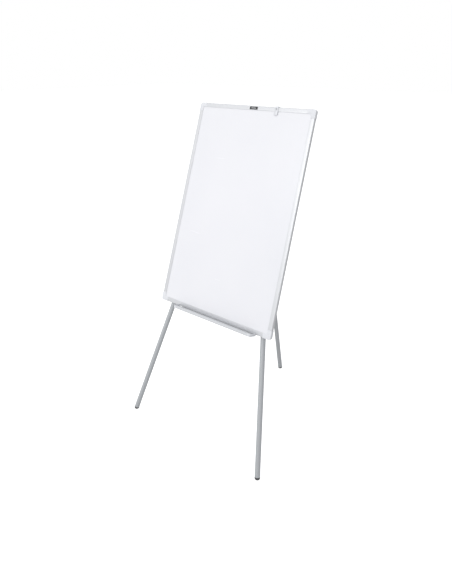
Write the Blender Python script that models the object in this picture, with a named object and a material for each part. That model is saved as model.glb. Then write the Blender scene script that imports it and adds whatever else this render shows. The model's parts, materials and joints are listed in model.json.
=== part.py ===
import math

import bmesh
import bpy
from mathutils import Matrix, Vector

# Flipchart easel: a framed steel writing board that leans back on two front legs and one rear leg.
# Metres. X runs to the right, Y to the back and Z up. The origin lies on the floor, below the
# middle of the footprint. Board pieces are drawn in the board's own frame: X across the board,
# Y into it from the front face, Z up the face from the bottom edge. Leg pieces are drawn in the
# leg's frame: Z runs up the leg and the leg's pivot is at zero.

# fits
GAP = 0.0003                          # between pieces that touch
GLIDE_GAP = 0.0004                    # bush in the tube it slides in

# stance
BOARD_LEAN = math.radians(18.5)       # board, back from upright
BOARD_EDGE_HEIGHT = 0.593             # floor to the bottom edge of the front face
REAR_LEG_SLOPE = math.radians(11.2)   # rear leg, back from upright

# board
BOARD_WIDTH = 0.680
BOARD_HEIGHT = 1.050
SHEET_THICKNESS = 0.0004
BACKING_THICKNESS = 0.0004

# frame rails
RAIL_FACE = 0.022
RAIL_DEPTH = 0.016
RAIL_WALL = 0.0014
RAIL_BACK_FLANGE = 0.014
RAIL_FRONT_ROUND = 0.004
RAIL_BACK_ROUND = 0.0025
RAIL_LIP_CHAMFER = 0.0006
CHAMBER_WIDTH = 0.0058
CHAMBER_CHAMFER = 0.0015

# corner pieces
CORNER_ARM = 0.042
CORNER_RADIUS = 0.012
CORNER_PROUD = 0.0004
CORNER_BEVEL = 0.0008
CORNER_INNER_ROUND = 0.003
TONGUE_LENGTH = 0.024
TONGUE_ROOT = 0.006

# badge on the top rail
BADGE_WIDTH = 0.046
BADGE_HEIGHT = 0.014
BADGE_THICKNESS = 0.0008
BADGE_ROUND = 0.002
BADGE_DROP = 0.0125

# pen tray
TRAY_LEFT = -0.212
TRAY_RIGHT = 0.263
TRAY_REACH = 0.050
TRAY_WALL = 0.0016
TRAY_UNDERHANG = 0.0145
TRAY_LIP_HEIGHT = 0.008
TRAY_LIP_DROP = 0.0032
TRAY_RIB_COUNT = 3
TRAY_RIB_PITCH = 0.0120
TRAY_RIB_HEIGHT = 0.0020
TRAY_RIB_WIDTH = 0.0016
TRAY_RIB_CREST = 0.0008
TRAY_CAP_LENGTH = 0.016
TRAY_CAP_RADIUS = 0.013
TRAY_CAP_WALL = 0.0022
TRAY_CAP_TONGUE = 0.018
TRAY_CAP_TONGUE_THICKNESS = 0.0012
TRAY_CAP_TONGUE_WIDTH = 0.026
TRAY_SCREW_INSET = 0.075
TRAY_SCREW_DEPTH = 0.008

# sheet-metal brackets
PLATE = 0.002
PLATE_BEVEL = 0.0004
HEAD_PLATE_WIDTH = 0.270
HEAD_PLATE_HEIGHT = 0.100
HEAD_PLATE_DROP = 0.036
HEAD_PLATE_ROUND = 0.010
HEAD_SCREW_TOP_SPACING = 0.244
HEAD_SCREW_LOW_SPACING = 0.112
HEAD_SCREW_EDGE = 0.012
EAR_SIDE_GAP = 0.002
EAR_RADIUS = 0.013
EAR_BASE = 0.046
CATCH_HEIGHT = 0.130
CATCH_LENGTH = 0.036
CATCH_FOOT = 0.030
CATCH_LIP_GAP = 0.001
CATCH_LIP_END = 0.002
CATCH_SCREW_SPACING = 0.020
CATCH_SCREW_INSET = 0.022

# screws, studs and nuts
SCREW_SHANK = 0.00175
SCREW_TIP = 0.0010
SCREW_HEAD = 0.0036
SCREW_HEAD_HEIGHT = 0.0022
SCREW_ROUND = 0.0011
SCREW_LENGTH = 0.0085
STUD_RADIUS = 0.004
STUD_OVERRUN = 0.0015
STUD_CHAMFER = 0.0007
PIN_HEAD = 0.0066
PIN_HEAD_HEIGHT = 0.003
PIN_HEAD_CHAMFER = 0.0012
NUT_ACROSS_FLATS = 0.013
NUT_HEIGHT = 0.006
SPACER_THICKNESS = 0.0043
SPACER_RADIUS = 0.011

# legs
UPPER_RADIUS = 0.0145
TUBE_WALL = 0.0010
TUBE_SLACK = 0.0013                   # upper tube's bore to the lower tube
PIVOT_SPACING = 0.200
PIVOT_DROP = 0.080
REAR_PIVOT_DROP = 0.100
REAR_STANDOFF = 0.0334                # head plate to the rear hinge pin
CROSSING_INSET = 0.059                # board's side to the leg where it passes the bottom edge
FRONT_TUBE_CLEAR = 0.045              # bottom edge up to the end of the front upper tubes
REAR_TUBE_LENGTH = 0.900              # rear pivot to the end of its upper tube
INSERTION = 0.200                     # lower tube inside the upper tube
TUBE_TOP = 0.018                      # tube above its pivot
PLUG_STEM = 0.034
PLUG_CAP = 0.002
BUSH_HEIGHT = 0.012
BUSH_STEM = 0.016

# clamps
COLLAR_WALL = 0.0040
COLLAR_GRIP = 0.028                   # collar on the upper tube
COLLAR_SKIRT = 0.022                  # collar below the upper tube
COLLAR_BEVEL = 0.0012
BOSS_RADIUS = 0.0085
BOSS_HEIGHT = 0.0057                  # boss beyond the collar
CLAMP_STUD_RADIUS = 0.003
KNOB_RADIUS = 0.0145
KNOB_THICKNESS = 0.012
KNOB_LOBES = 6
KNOB_LOBE_DEPTH = 0.0018
KNOB_NECK = 0.0065
KNOB_NECK_LENGTH = 0.003
KNOB_BEVEL = 0.0016

# feet
FOOT_LEDGE = 0.0003                   # foot beyond the tube
FOOT_CUT = 0.0060                     # ball end taken off to make the flat sole
FOOT_RIM = 0.0012
FOOT_STEM = 0.020

# paper hook on the top rail
HOOK_OFFSET = 0.131
HOOK_WIDTH = 0.020
HOOK_LENGTH = 0.045
HOOK_WALL = 0.0022
HOOK_TAB_ROUND = 0.008
HOOK_BACK = 0.0042
HOOK_BACK_DROP = 0.013
HOOK_PEG_RADIUS = 0.003
HOOK_PEG_LENGTH = 0.012
HOOK_PEG_DROP = 0.010
HOOK_SCREW_RADIUS = 0.002
HOOK_SCREW_DROP = 0.0055
HOOK_KNOB_RADIUS = 0.007
HOOK_KNOB_THICKNESS = 0.005
HOOK_KNOB_CHAMFER = 0.0008

# roundness
TUBE_SIDES = 20
SMALL_SIDES = 10
ARC_STEPS = 4
LOBE_STEPS = 4                        # points round each lobe of a knob
SMOOTH_ANGLE = math.radians(32)
OVERCUT = 0.002                       # how far a cutting shape runs past a face

# stations worked out from the sizes above
HALF_WIDTH = BOARD_WIDTH / 2
PANEL_INSET = 2 * RAIL_WALL + CHAMBER_WIDTH + GAP
SHEET_FRONT = RAIL_WALL + GAP
BACKING_BACK = RAIL_DEPTH - RAIL_WALL - GAP
PLATE_FRONT = BACKING_BACK + GAP
PLATE_BACK = PLATE_FRONT + PLATE
LEG_PLANE = PLATE_BACK + GAP + SPACER_THICKNESS + GAP + UPPER_RADIUS
PIVOT_HEIGHT = BOARD_HEIGHT - PIVOT_DROP
REAR_PIVOT_HEIGHT = BOARD_HEIGHT - REAR_PIVOT_DROP
REAR_PIVOT_DEPTH = PLATE_BACK + REAR_STANDOFF
LEG_SPREAD = math.atan((HALF_WIDTH - CROSSING_INSET - PIVOT_SPACING / 2) / PIVOT_HEIGHT)
REAR_OPENING = BOARD_LEAN + REAR_LEG_SLOPE
UPPER_BORE = UPPER_RADIUS - TUBE_WALL
LOWER_RADIUS = UPPER_BORE - TUBE_SLACK
LOWER_BORE = LOWER_RADIUS - TUBE_WALL
FOOT_RADIUS = LOWER_RADIUS + FOOT_LEDGE
BALL_HEIGHT = FOOT_RADIUS - FOOT_CUT
EAR_FACE = UPPER_RADIUS + EAR_SIDE_GAP
HOLE_RADIUS = STUD_RADIUS + GAP
COLLAR_RADIUS = UPPER_RADIUS + GAP + COLLAR_WALL
BOSS_REACH = COLLAR_RADIUS + BOSS_HEIGHT
SCREW_HOLE = SCREW_SHANK + GAP

# length from each pivot to the ball centre of the foot, and where the feet stand
LEG_PLANE_DROP = LEG_PLANE * math.sin(BOARD_LEAN)
FRONT_BALL_HEIGHT = (BALL_HEIGHT - BOARD_EDGE_HEIGHT + LEG_PLANE_DROP) / math.cos(BOARD_LEAN)
FRONT_LEG_LENGTH = (PIVOT_HEIGHT - FRONT_BALL_HEIGHT) / math.cos(LEG_SPREAD)
FRONT_FOOT_Y = FRONT_BALL_HEIGHT * math.sin(BOARD_LEAN) + LEG_PLANE * math.cos(BOARD_LEAN)
REAR_PIVOT_Y = REAR_PIVOT_HEIGHT * math.sin(BOARD_LEAN) + REAR_PIVOT_DEPTH * math.cos(BOARD_LEAN)
REAR_PIVOT_Z = (BOARD_EDGE_HEIGHT + REAR_PIVOT_HEIGHT * math.cos(BOARD_LEAN)
                - REAR_PIVOT_DEPTH * math.sin(BOARD_LEAN))
REAR_LEG_LENGTH = (REAR_PIVOT_Z - BALL_HEIGHT) / math.cos(REAR_LEG_SLOPE)
REAR_FOOT_Y = REAR_PIVOT_Y + REAR_LEG_LENGTH * math.sin(REAR_LEG_SLOPE)
BOARD_ORIGIN_Y = -(FRONT_FOOT_Y + REAR_FOOT_Y) / 2
FRONT_TUBE_LENGTH = (PIVOT_HEIGHT - FRONT_TUBE_CLEAR) / math.cos(LEG_SPREAD)

# colour, roughness, metallic
ALUMINIUM = ((0.74, 0.75, 0.77), 0.32, 1.0)
GREY_TUBE = ((0.55, 0.57, 0.60), 0.42, 0.6)
ZINC = ((0.60, 0.61, 0.62), 0.38, 1.0)
LACQUER = ((0.90, 0.91, 0.93), 0.16, 0.0)
BACKING = ((0.62, 0.64, 0.66), 0.45, 0.7)
CORE = ((0.72, 0.60, 0.44), 0.85, 0.0)
GREY_PLASTIC = ((0.70, 0.71, 0.73), 0.45, 0.0)
CLEAR_GREY = ((0.66, 0.67, 0.71), 0.35, 0.0)
BLACK_PLASTIC = ((0.03, 0.03, 0.03), 0.40, 0.0)
NYLON = ((0.80, 0.79, 0.75), 0.50, 0.0)
RUBBER = ((0.035, 0.035, 0.035), 0.75, 0.0)


def make_material(name, finish):
    colour, roughness, metallic = finish
    material = bpy.data.materials.new(name)
    material.use_nodes = True
    shader = material.node_tree.nodes["Principled BSDF"]
    shader.inputs["Base Color"].default_value = (*colour, 1.0)
    shader.inputs["Roughness"].default_value = roughness
    shader.inputs["Metallic"].default_value = metallic
    return material


def place(obj, parent, matrix):
    bpy.context.scene.collection.objects.link(obj)
    obj.parent = parent
    obj.matrix_basis = matrix


def make_frame(name, parent, matrix):
    frame = bpy.data.objects.new(name, None)
    place(frame, parent, matrix)
    return frame


def make_piece(name, bm, parent, finish, matrix=None):
    bmesh.ops.recalc_face_normals(bm, faces=bm.faces)
    mesh = bpy.data.meshes.new(name)
    bm.to_mesh(mesh)
    bm.free()
    mesh.materials.append(make_material(name, finish))
    mesh.shade_smooth()
    mesh.set_sharp_from_angle(angle=SMOOTH_ANGLE)
    piece = bpy.data.objects.new(name, mesh)
    place(piece, parent, matrix or Matrix.Identity(4))
    return piece


def combine(piece, bm, operation):
    # the tool shape shares the piece's place, stays hidden and is joined to it or cut from it
    bmesh.ops.recalc_face_normals(bm, faces=bm.faces)
    tool_name = f"{piece.name}_{operation.lower()}_{len(piece.modifiers)}"
    mesh = bpy.data.meshes.new(tool_name)
    bm.to_mesh(mesh)
    bm.free()
    tool = bpy.data.objects.new(tool_name, mesh)
    place(tool, piece.parent, piece.matrix_basis.copy())
    tool.hide_render = True
    tool.display_type = "WIRE"
    modifier = piece.modifiers.new(operation.lower(), "BOOLEAN")
    modifier.operation = operation
    modifier.solver = "EXACT"
    modifier.object = tool


def arc(centre, radius, start, end, steps=ARC_STEPS):
    points = []
    for step in range(steps + 1):
        angle = math.radians(start + (end - start) * step / steps)
        points.append((centre[0] + radius * math.cos(angle), centre[1] + radius * math.sin(angle)))
    return points


def rounded_rectangle(low, high, radius):
    left, bottom = low[0] + radius, low[1] + radius
    right, top = high[0] - radius, high[1] - radius
    outline = arc((right, bottom), radius, -90, 0)
    outline += arc((right, top), radius, 0, 90)
    outline += arc((left, top), radius, 90, 180)
    outline += arc((left, bottom), radius, 180, 270)
    return outline


def add_prism(bm, outlines, axis, low, high):
    # outlines, the first one outside and the others its holes, drawn square to the named axis:
    # (y, z) for X, (x, z) for Y and (x, y) for Z
    lifts = {
        "X": lambda point, depth: (depth, point[0], point[1]),
        "Y": lambda point, depth: (point[0], depth, point[1]),
        "Z": lambda point, depth: (point[0], point[1], depth),
    }
    lift = lifts[axis]
    edges = []
    for outline in outlines:
        verts = [bm.verts.new(lift(point, low)) for point in outline]
        for index, vert in enumerate(verts):
            edges.append(bm.edges.new((vert, verts[(index + 1) % len(verts)])))
    filled = bmesh.ops.triangle_fill(bm, edges=edges, use_beauty=True)
    faces = [item for item in filled["geom"] if isinstance(item, bmesh.types.BMFace)]
    raised = bmesh.ops.extrude_face_region(bm, geom=faces, use_keep_orig=True)
    verts = [item for item in raised["geom"] if isinstance(item, bmesh.types.BMVert)]
    travel = Vector(lift((0, 0), high)) - Vector(lift((0, 0), low))
    bmesh.ops.translate(bm, verts=verts, vec=travel)


def add_box(bm, low, high):
    outline = [(low[0], low[1]), (high[0], low[1]), (high[0], high[1]), (low[0], high[1])]
    add_prism(bm, [outline], "Z", low[2], high[2])


def add_rod(bm, start, end, radius, sides=SMALL_SIDES):
    start, end = Vector(start), Vector(end)
    along = end - start
    turn = along.to_track_quat("Z", "Y").to_matrix().to_4x4()
    matrix = Matrix.Translation((start + end) / 2) @ turn
    bmesh.ops.create_cone(bm, cap_ends=True, segments=sides, radius1=radius, radius2=radius,
                          depth=along.length, matrix=matrix)


def add_turned(bm, profile, sides=TUBE_SIDES, matrix=None):
    # (radius, height) points, spun round the Z axis; a closed ring where the profile closes
    verts = [bm.verts.new((radius, 0, height)) for radius, height in profile]
    edges = [bm.edges.new(pair) for pair in zip(verts, verts[1:])]
    spun = verts + edges
    bmesh.ops.spin(bm, geom=spun, cent=(0, 0, 0), axis=(0, 0, 1), angle=2 * math.pi,
                   steps=sides, use_merge=True)
    bmesh.ops.remove_doubles(bm, verts=bm.verts, dist=1e-6)
    if matrix:
        bmesh.ops.transform(bm, matrix=matrix, verts=bm.verts)


def drill(piece, holes):
    # round holes, each from a start to an end with a radius
    bm = bmesh.new()
    for start, end, radius in holes:
        add_rod(bm, start, end, radius)
    combine(piece, bm, "DIFFERENCE")


def bevel_sharp_edges(bm, width, segments=2, skip=lambda edge: False):
    bmesh.ops.recalc_face_normals(bm, faces=bm.faces)
    sharp = [edge for edge in bm.edges if edge.calc_face_angle() > SMOOTH_ANGLE and not skip(edge)]
    bmesh.ops.bevel(bm, geom=sharp, offset=width, segments=segments, profile=0.5,
                    affect="EDGES", clamp_overlap=True)


def chamber_outline(inset):
    # the hollow behind a rail's outer wall, as (depth, distance from the outer edge)
    front = RAIL_WALL + inset
    back = RAIL_DEPTH - RAIL_WALL - inset
    outer = RAIL_WALL + inset
    inner = RAIL_WALL + CHAMBER_WIDTH - inset
    return [
        (front + CHAMBER_CHAMFER, outer),
        (back, outer),
        (back, inner),
        (front, inner),
        (front, outer + CHAMBER_CHAMFER),
    ]


def rail_outline():
    # (depth, distance from the outer edge): outer wall, front flange, web and back flange
    web_face = 2 * RAIL_WALL + CHAMBER_WIDTH
    outline = arc((RAIL_FRONT_ROUND, RAIL_FRONT_ROUND), RAIL_FRONT_ROUND, 270, 180)
    outline += [
        (0, RAIL_FACE - RAIL_LIP_CHAMFER),
        (RAIL_LIP_CHAMFER, RAIL_FACE),
        (RAIL_WALL, RAIL_FACE),
        (RAIL_WALL, web_face),
        (RAIL_DEPTH - RAIL_WALL, web_face),
        (RAIL_DEPTH - RAIL_WALL, RAIL_BACK_FLANGE),
        (RAIL_DEPTH, RAIL_BACK_FLANGE),
    ]
    outline += arc((RAIL_DEPTH - RAIL_BACK_ROUND, RAIL_BACK_ROUND), RAIL_BACK_ROUND, 0, -90)
    return outline


def make_rail(name, length, board, matrix):
    half = length / 2 - CORNER_ARM - GAP
    bm = bmesh.new()
    add_prism(bm, [rail_outline(), chamber_outline(0)], "X", -half, half)
    return make_piece(name, bm, board, ALUMINIUM, matrix)


def corner_outline():
    low = -CORNER_PROUD
    inner = RAIL_FACE + CORNER_INNER_ROUND
    outline = [(CORNER_ARM, low), (CORNER_ARM, RAIL_FACE)]
    outline += arc((inner, inner), CORNER_INNER_ROUND, 270, 180)
    outline += [(RAIL_FACE, CORNER_ARM), (low, CORNER_ARM)]
    outline += arc((low + CORNER_RADIUS, low + CORNER_RADIUS), CORNER_RADIUS, 180, 270)
    return outline


def on_arm_end(edge):
    return all(max(vert.co.x, vert.co.z) > CORNER_ARM - GAP for vert in edge.verts)


def make_corner(name, board, matrix):
    bm = bmesh.new()
    add_prism(bm, [corner_outline()], "Y", -CORNER_PROUD, RAIL_DEPTH + CORNER_PROUD)
    bevel_sharp_edges(bm, CORNER_BEVEL, 1, skip=on_arm_end)
    corner = make_piece(name, bm, board, GREY_PLASTIC, matrix)

    slot = bmesh.new()
    start = PANEL_INSET - GAP
    add_box(slot, (start, RAIL_WALL, start), (CORNER_ARM * 2, RAIL_DEPTH - RAIL_WALL, CORNER_ARM * 2))
    combine(corner, slot, "DIFFERENCE")

    tongues = bmesh.new()
    root, tip = CORNER_ARM - TONGUE_ROOT, CORNER_ARM + TONGUE_LENGTH
    add_prism(tongues, [chamber_outline(GAP)], "X", root, tip)
    upright = [(across, depth) for depth, across in chamber_outline(GAP)]
    add_prism(tongues, [upright], "Z", root, tip)
    combine(corner, tongues, "UNION")
    return corner


def board_sides():
    # each side of the frame: name, length, turn about Y, middle of its outer edge,
    # and the corner piece at the start of the side, going round from the bottom left
    left, right, top, level = -HALF_WIDTH, HALF_WIDTH, BOARD_HEIGHT, BOARD_HEIGHT / 2
    return [
        ("bottom", BOARD_WIDTH, 0, (0, 0, 0), "bottom_left", (left, 0, 0)),
        ("right", BOARD_HEIGHT, -90, (right, 0, level), "bottom_right", (right, 0, 0)),
        ("top", BOARD_WIDTH, 180, (0, 0, top), "top_right", (right, 0, top)),
        ("left", BOARD_HEIGHT, 90, (left, 0, level), "top_left", (left, 0, top)),
    ]


def tray_screw_stations():
    return (TRAY_LEFT + TRAY_SCREW_INSET, TRAY_RIGHT - TRAY_SCREW_INSET)


def tray_screw_holes(low, high):
    depth = TRAY_SCREW_DEPTH
    return [((x, depth, low), (x, depth, high), SCREW_HOLE) for x in tray_screw_stations()]


def make_board_frame_rails(board):
    rails = {}
    for side, length, degrees, middle, corner, corner_point in board_sides():
        turn = Matrix.Rotation(math.radians(degrees), 4, "Y")
        rails[side] = make_rail(f"rail_{side}", length, board, Matrix.Translation(middle) @ turn)
        make_corner(f"corner_{corner}", board, Matrix.Translation(corner_point) @ turn)
    drill(rails["bottom"], tray_screw_holes(-OVERCUT, RAIL_WALL + OVERCUT))


def make_panel_sheet(name, front, back, board, finish, holes):
    bm = bmesh.new()
    low = (-HALF_WIDTH + PANEL_INSET, front, PANEL_INSET)
    high = (HALF_WIDTH - PANEL_INSET, back, BOARD_HEIGHT - PANEL_INSET)
    add_box(bm, low, high)
    panel = make_piece(name, bm, board, finish)
    if holes:
        drill(panel, holes)


def plate_screw_points():
    # heads' seats on the back plates, as (x, z) in the board's frame
    top = BOARD_HEIGHT - HEAD_PLATE_DROP - HEAD_SCREW_EDGE
    low = BOARD_HEIGHT - HEAD_PLATE_DROP - HEAD_PLATE_HEIGHT + HEAD_SCREW_EDGE
    points = {
        "head_screw_top_left": (-HEAD_SCREW_TOP_SPACING / 2, top),
        "head_screw_top_right": (HEAD_SCREW_TOP_SPACING / 2, top),
        "head_screw_low_left": (-HEAD_SCREW_LOW_SPACING / 2, low),
        "head_screw_low_right": (HEAD_SCREW_LOW_SPACING / 2, low),
    }
    for side, name in ((-1, "left"), (1, "right")):
        for step, place_name in ((1, "upper"), (-1, "lower")):
            across = -side * CATCH_SCREW_INSET
            offset = Vector((across, 0, step * CATCH_SCREW_SPACING / 2))
            point = catch_matrix(side) @ offset
            points[f"catch_screw_{name}_{place_name}"] = (point.x, point.z)
    return points


def make_panel(board):
    core_front = SHEET_FRONT + SHEET_THICKNESS + GAP
    backing_front = BACKING_BACK - BACKING_THICKNESS
    pilot = PLATE_BACK - SCREW_LENGTH
    seats = plate_screw_points().values()
    deep_holes = [((x, pilot, z), (x, RAIL_DEPTH, z), SCREW_HOLE) for x, z in seats]
    through_holes = [((x, backing_front - OVERCUT, z), (x, RAIL_DEPTH, z), SCREW_HOLE) for x, z in seats]
    make_panel_sheet("writing_sheet", SHEET_FRONT, SHEET_FRONT + SHEET_THICKNESS, board, LACQUER, [])
    make_panel_sheet("board_core", core_front, backing_front - GAP, board, CORE, deep_holes)
    make_panel_sheet("backing_sheet", backing_front, BACKING_BACK, board, BACKING, through_holes)


def make_badge(board):
    bm = bmesh.new()
    middle = BOARD_HEIGHT - BADGE_DROP
    outline = rounded_rectangle((-BADGE_WIDTH / 2, middle - BADGE_HEIGHT / 2),
                                (BADGE_WIDTH / 2, middle + BADGE_HEIGHT / 2), BADGE_ROUND)
    add_prism(bm, [outline], "Y", -GAP - BADGE_THICKNESS, -GAP)
    make_piece("name_badge", bm, board, BLACK_PLASTIC)


def make_screw(name, parent, matrix):
    # pan head, its seat at zero and the shank running down Z
    bm = bmesh.new()
    top = SCREW_HEAD_HEIGHT
    profile = [(0, -SCREW_LENGTH), (SCREW_TIP, -SCREW_LENGTH), (SCREW_SHANK, SCREW_SHANK - SCREW_LENGTH)]
    profile += [(SCREW_SHANK, 0), (SCREW_HEAD, 0), (SCREW_HEAD, top - SCREW_ROUND)]
    profile += [(SCREW_HEAD - SCREW_ROUND, top), (0, top)]
    add_turned(bm, profile, SMALL_SIDES)
    make_piece(name, bm, parent, ZINC, matrix)


def make_back_screws(board):
    turn = Matrix.Rotation(math.radians(-90), 4, "X")
    for name, (x, z) in plate_screw_points().items():
        seat = Matrix.Translation((x, PLATE_BACK + GAP, z))
        make_screw(name, board, seat @ turn)


def tray_outline():
    # (depth, height): base under the rail, ribs, then the front lip
    top, bottom = -GAP, -GAP - TRAY_WALL
    front = -TRAY_REACH
    lip_back = front + TRAY_WALL
    round_centre = (front + TRAY_WALL / 2, TRAY_LIP_HEIGHT - TRAY_WALL / 2)
    outline = [(TRAY_UNDERHANG, bottom), (TRAY_UNDERHANG, top)]
    middle_rib = -TRAY_REACH / 2
    for index in range(TRAY_RIB_COUNT):
        rib = middle_rib + (TRAY_RIB_COUNT - 1 - 2 * index) * TRAY_RIB_PITCH / 2
        foot, crest = TRAY_RIB_WIDTH / 2, TRAY_RIB_CREST / 2
        outline += [(rib + foot, top), (rib + crest, top + TRAY_RIB_HEIGHT)]
        outline += [(rib - crest, top + TRAY_RIB_HEIGHT), (rib - foot, top)]
    outline += [(lip_back, top)]
    outline += arc(round_centre, TRAY_WALL / 2, 0, 180)
    outline += [(front, bottom - TRAY_LIP_DROP), (lip_back, bottom - TRAY_LIP_DROP), (lip_back, bottom)]
    return outline


def make_tray(board):
    bm = bmesh.new()
    start = TRAY_LEFT + TRAY_CAP_LENGTH + GAP
    end = TRAY_RIGHT - TRAY_CAP_LENGTH - GAP
    add_prism(bm, [tray_outline()], "X", start, end)
    tray = make_piece("pen_tray", bm, board, ALUMINIUM)
    bottom = -GAP - TRAY_WALL
    drill(tray, tray_screw_holes(bottom - OVERCUT, OVERCUT))
    turn = Matrix.Rotation(math.radians(180), 4, "X")
    for name, x in zip(("left", "right"), tray_screw_stations()):
        seat = Matrix.Translation((x, TRAY_SCREW_DEPTH, bottom - GAP))
        make_screw(f"tray_screw_{name}", board, seat @ turn)


def cap_plan(inset, inner_end):
    # plan of an end cap as (x, depth): its outer end at zero, the tray beyond the inner end
    radius = TRAY_CAP_RADIUS - inset
    front = -TRAY_REACH + inset
    outline = [(inner_end, -GAP), (inner_end, front)]
    outline += arc((inset + radius, front + radius), radius, 270, 180)
    outline += [(inset, -GAP)]
    return outline


def make_tray_cap(name, side, board):
    # a moulded end with a rounded front corner, drawn for the left end
    bottom, top = -GAP - TRAY_WALL, -GAP
    drop = bottom - TRAY_LIP_DROP
    bm = bmesh.new()
    add_prism(bm, [cap_plan(0, TRAY_CAP_LENGTH)], "Z", drop, TRAY_LIP_HEIGHT)
    flip = Matrix.Diagonal((side, 1, 1, 1))
    bmesh.ops.transform(bm, matrix=flip, verts=bm.verts)
    end = TRAY_LEFT if side > 0 else TRAY_RIGHT
    cap = make_piece(name, bm, board, GREY_PLASTIC, Matrix.Translation((end, 0, 0)))

    hollow = bmesh.new()
    inside = cap_plan(TRAY_CAP_WALL, TRAY_CAP_LENGTH + OVERCUT)
    add_prism(hollow, [inside], "Z", top, TRAY_LIP_HEIGHT + OVERCUT)
    add_prism(hollow, [inside], "Z", drop - OVERCUT, bottom)
    bmesh.ops.transform(hollow, matrix=flip, verts=hollow.verts)
    combine(cap, hollow, "DIFFERENCE")

    tongue = bmesh.new()
    front = -(TRAY_REACH + TRAY_CAP_TONGUE_WIDTH) / 2
    back = front + TRAY_CAP_TONGUE_WIDTH
    under = bottom - GAP
    add_box(tongue, (TRAY_CAP_WALL / 2, front, under - TRAY_CAP_TONGUE_THICKNESS),
            (TRAY_CAP_LENGTH + TRAY_CAP_TONGUE, back, under))
    bmesh.ops.transform(tongue, matrix=flip, verts=tongue.verts)
    combine(cap, tongue, "UNION")


def ear_outline():
    # side view of a hinge ear as (depth, height), rounded about the rear hinge pin
    root = PLATE_FRONT + PLATE / 2
    pin = (REAR_PIVOT_DEPTH, REAR_PIVOT_HEIGHT)
    outline = [(root, REAR_PIVOT_HEIGHT - EAR_BASE / 2)]
    outline += arc(pin, EAR_RADIUS, -60, 60, 2 * ARC_STEPS)
    outline += [(root, REAR_PIVOT_HEIGHT + EAR_BASE / 2)]
    return outline


def make_head_bracket(board):
    # a plate across the back of the board with two ears bent out for the rear leg
    top = BOARD_HEIGHT - HEAD_PLATE_DROP
    outline = rounded_rectangle((-HEAD_PLATE_WIDTH / 2, top - HEAD_PLATE_HEIGHT),
                                (HEAD_PLATE_WIDTH / 2, top), HEAD_PLATE_ROUND)
    bm = bmesh.new()
    add_prism(bm, [outline], "Y", PLATE_FRONT, PLATE_BACK)
    bevel_sharp_edges(bm, PLATE_BEVEL, 1)
    bracket = make_piece("head_bracket", bm, board, ZINC)
    ears = bmesh.new()
    for side in (-1, 1):
        faces = sorted((side * EAR_FACE, side * (EAR_FACE + PLATE)))
        add_prism(ears, [ear_outline()], "X", *faces)
    combine(bracket, ears, "UNION")
    reach = EAR_FACE + PLATE + OVERCUT
    depth, height = REAR_PIVOT_DEPTH, REAR_PIVOT_HEIGHT
    holes = [((-reach, depth, height), (reach, depth, height), HOLE_RADIUS)]
    for name, (x, z) in plate_screw_points().items():
        if name.startswith("head"):
            holes.append(plate_hole(x, z))
    drill(bracket, holes)


def plate_hole(x, z):
    return ((x, PLATE_FRONT - OVERCUT, z), (x, PLATE_BACK + OVERCUT, z), SCREW_HOLE)


def nut_outline():
    radius = NUT_ACROSS_FLATS / math.sqrt(3)
    return arc((0, 0), radius, 0, 300, 5)


def make_nut(name, board, matrix):
    bm = bmesh.new()
    bore = arc((0, 0), HOLE_RADIUS, 0, 360 - 360 / SMALL_SIDES, SMALL_SIDES - 1)
    add_prism(bm, [nut_outline(), bore], "Z", 0, NUT_HEIGHT)
    make_piece(name, bm, board, ZINC, matrix)


def make_front_pivots(board):
    turn = Matrix.Rotation(math.radians(-90), 4, "X")
    start = PLATE_BACK + GAP
    seat = LEG_PLANE + UPPER_RADIUS + GAP
    length = seat + NUT_HEIGHT + STUD_OVERRUN - start
    for side, name in ((-1, "left"), (1, "right")):
        x = side * PIVOT_SPACING / 2
        base = Matrix.Translation((x, start, PIVOT_HEIGHT)) @ turn
        bm = bmesh.new()
        profile = [(0, 0), (STUD_RADIUS, 0), (STUD_RADIUS, length - STUD_CHAMFER)]
        profile += [(STUD_RADIUS - STUD_CHAMFER, length), (0, length)]
        add_turned(bm, profile, SMALL_SIDES)
        make_piece(f"pivot_stud_{name}", bm, board, ZINC, base)
        bm = bmesh.new()
        profile = [(HOLE_RADIUS, 0), (SPACER_RADIUS, 0), (SPACER_RADIUS, SPACER_THICKNESS)]
        profile += [(HOLE_RADIUS, SPACER_THICKNESS), (HOLE_RADIUS, 0)]
        add_turned(bm, profile)
        make_piece(f"pivot_spacer_{name}", bm, board, NYLON, base)
        make_nut(f"pivot_nut_{name}", board, Matrix.Translation((x, seat, PIVOT_HEIGHT)) @ turn)


def make_rear_hinge_pin(board):
    turn = Matrix.Rotation(math.radians(90), 4, "Y")
    outer = EAR_FACE + PLATE + GAP
    centre = Matrix.Translation((0, REAR_PIVOT_DEPTH, REAR_PIVOT_HEIGHT))
    end = outer + NUT_HEIGHT + STUD_OVERRUN
    bm = bmesh.new()
    crown = -outer - PIN_HEAD_HEIGHT
    profile = [(0, crown), (PIN_HEAD - PIN_HEAD_CHAMFER, crown), (PIN_HEAD, crown + PIN_HEAD_CHAMFER)]
    profile += [(PIN_HEAD, -outer), (STUD_RADIUS, -outer)]
    profile += [(STUD_RADIUS, end - STUD_CHAMFER), (STUD_RADIUS - STUD_CHAMFER, end), (0, end)]
    add_turned(bm, profile, SMALL_SIDES)
    make_piece("rear_hinge_pin", bm, board, ZINC, centre @ turn)
    make_nut("rear_hinge_nut", board, centre @ Matrix.Translation((outer, 0, 0)) @ turn)


def catch_matrix(side):
    # a point on the front leg's line, level with the leg catch, turned with the leg
    across = PIVOT_SPACING / 2 + (PIVOT_HEIGHT - CATCH_HEIGHT) * math.tan(LEG_SPREAD)
    turn = Matrix.Rotation(-side * LEG_SPREAD, 4, "Y")
    return Matrix.Translation((side * across, 0, CATCH_HEIGHT)) @ turn


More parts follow.
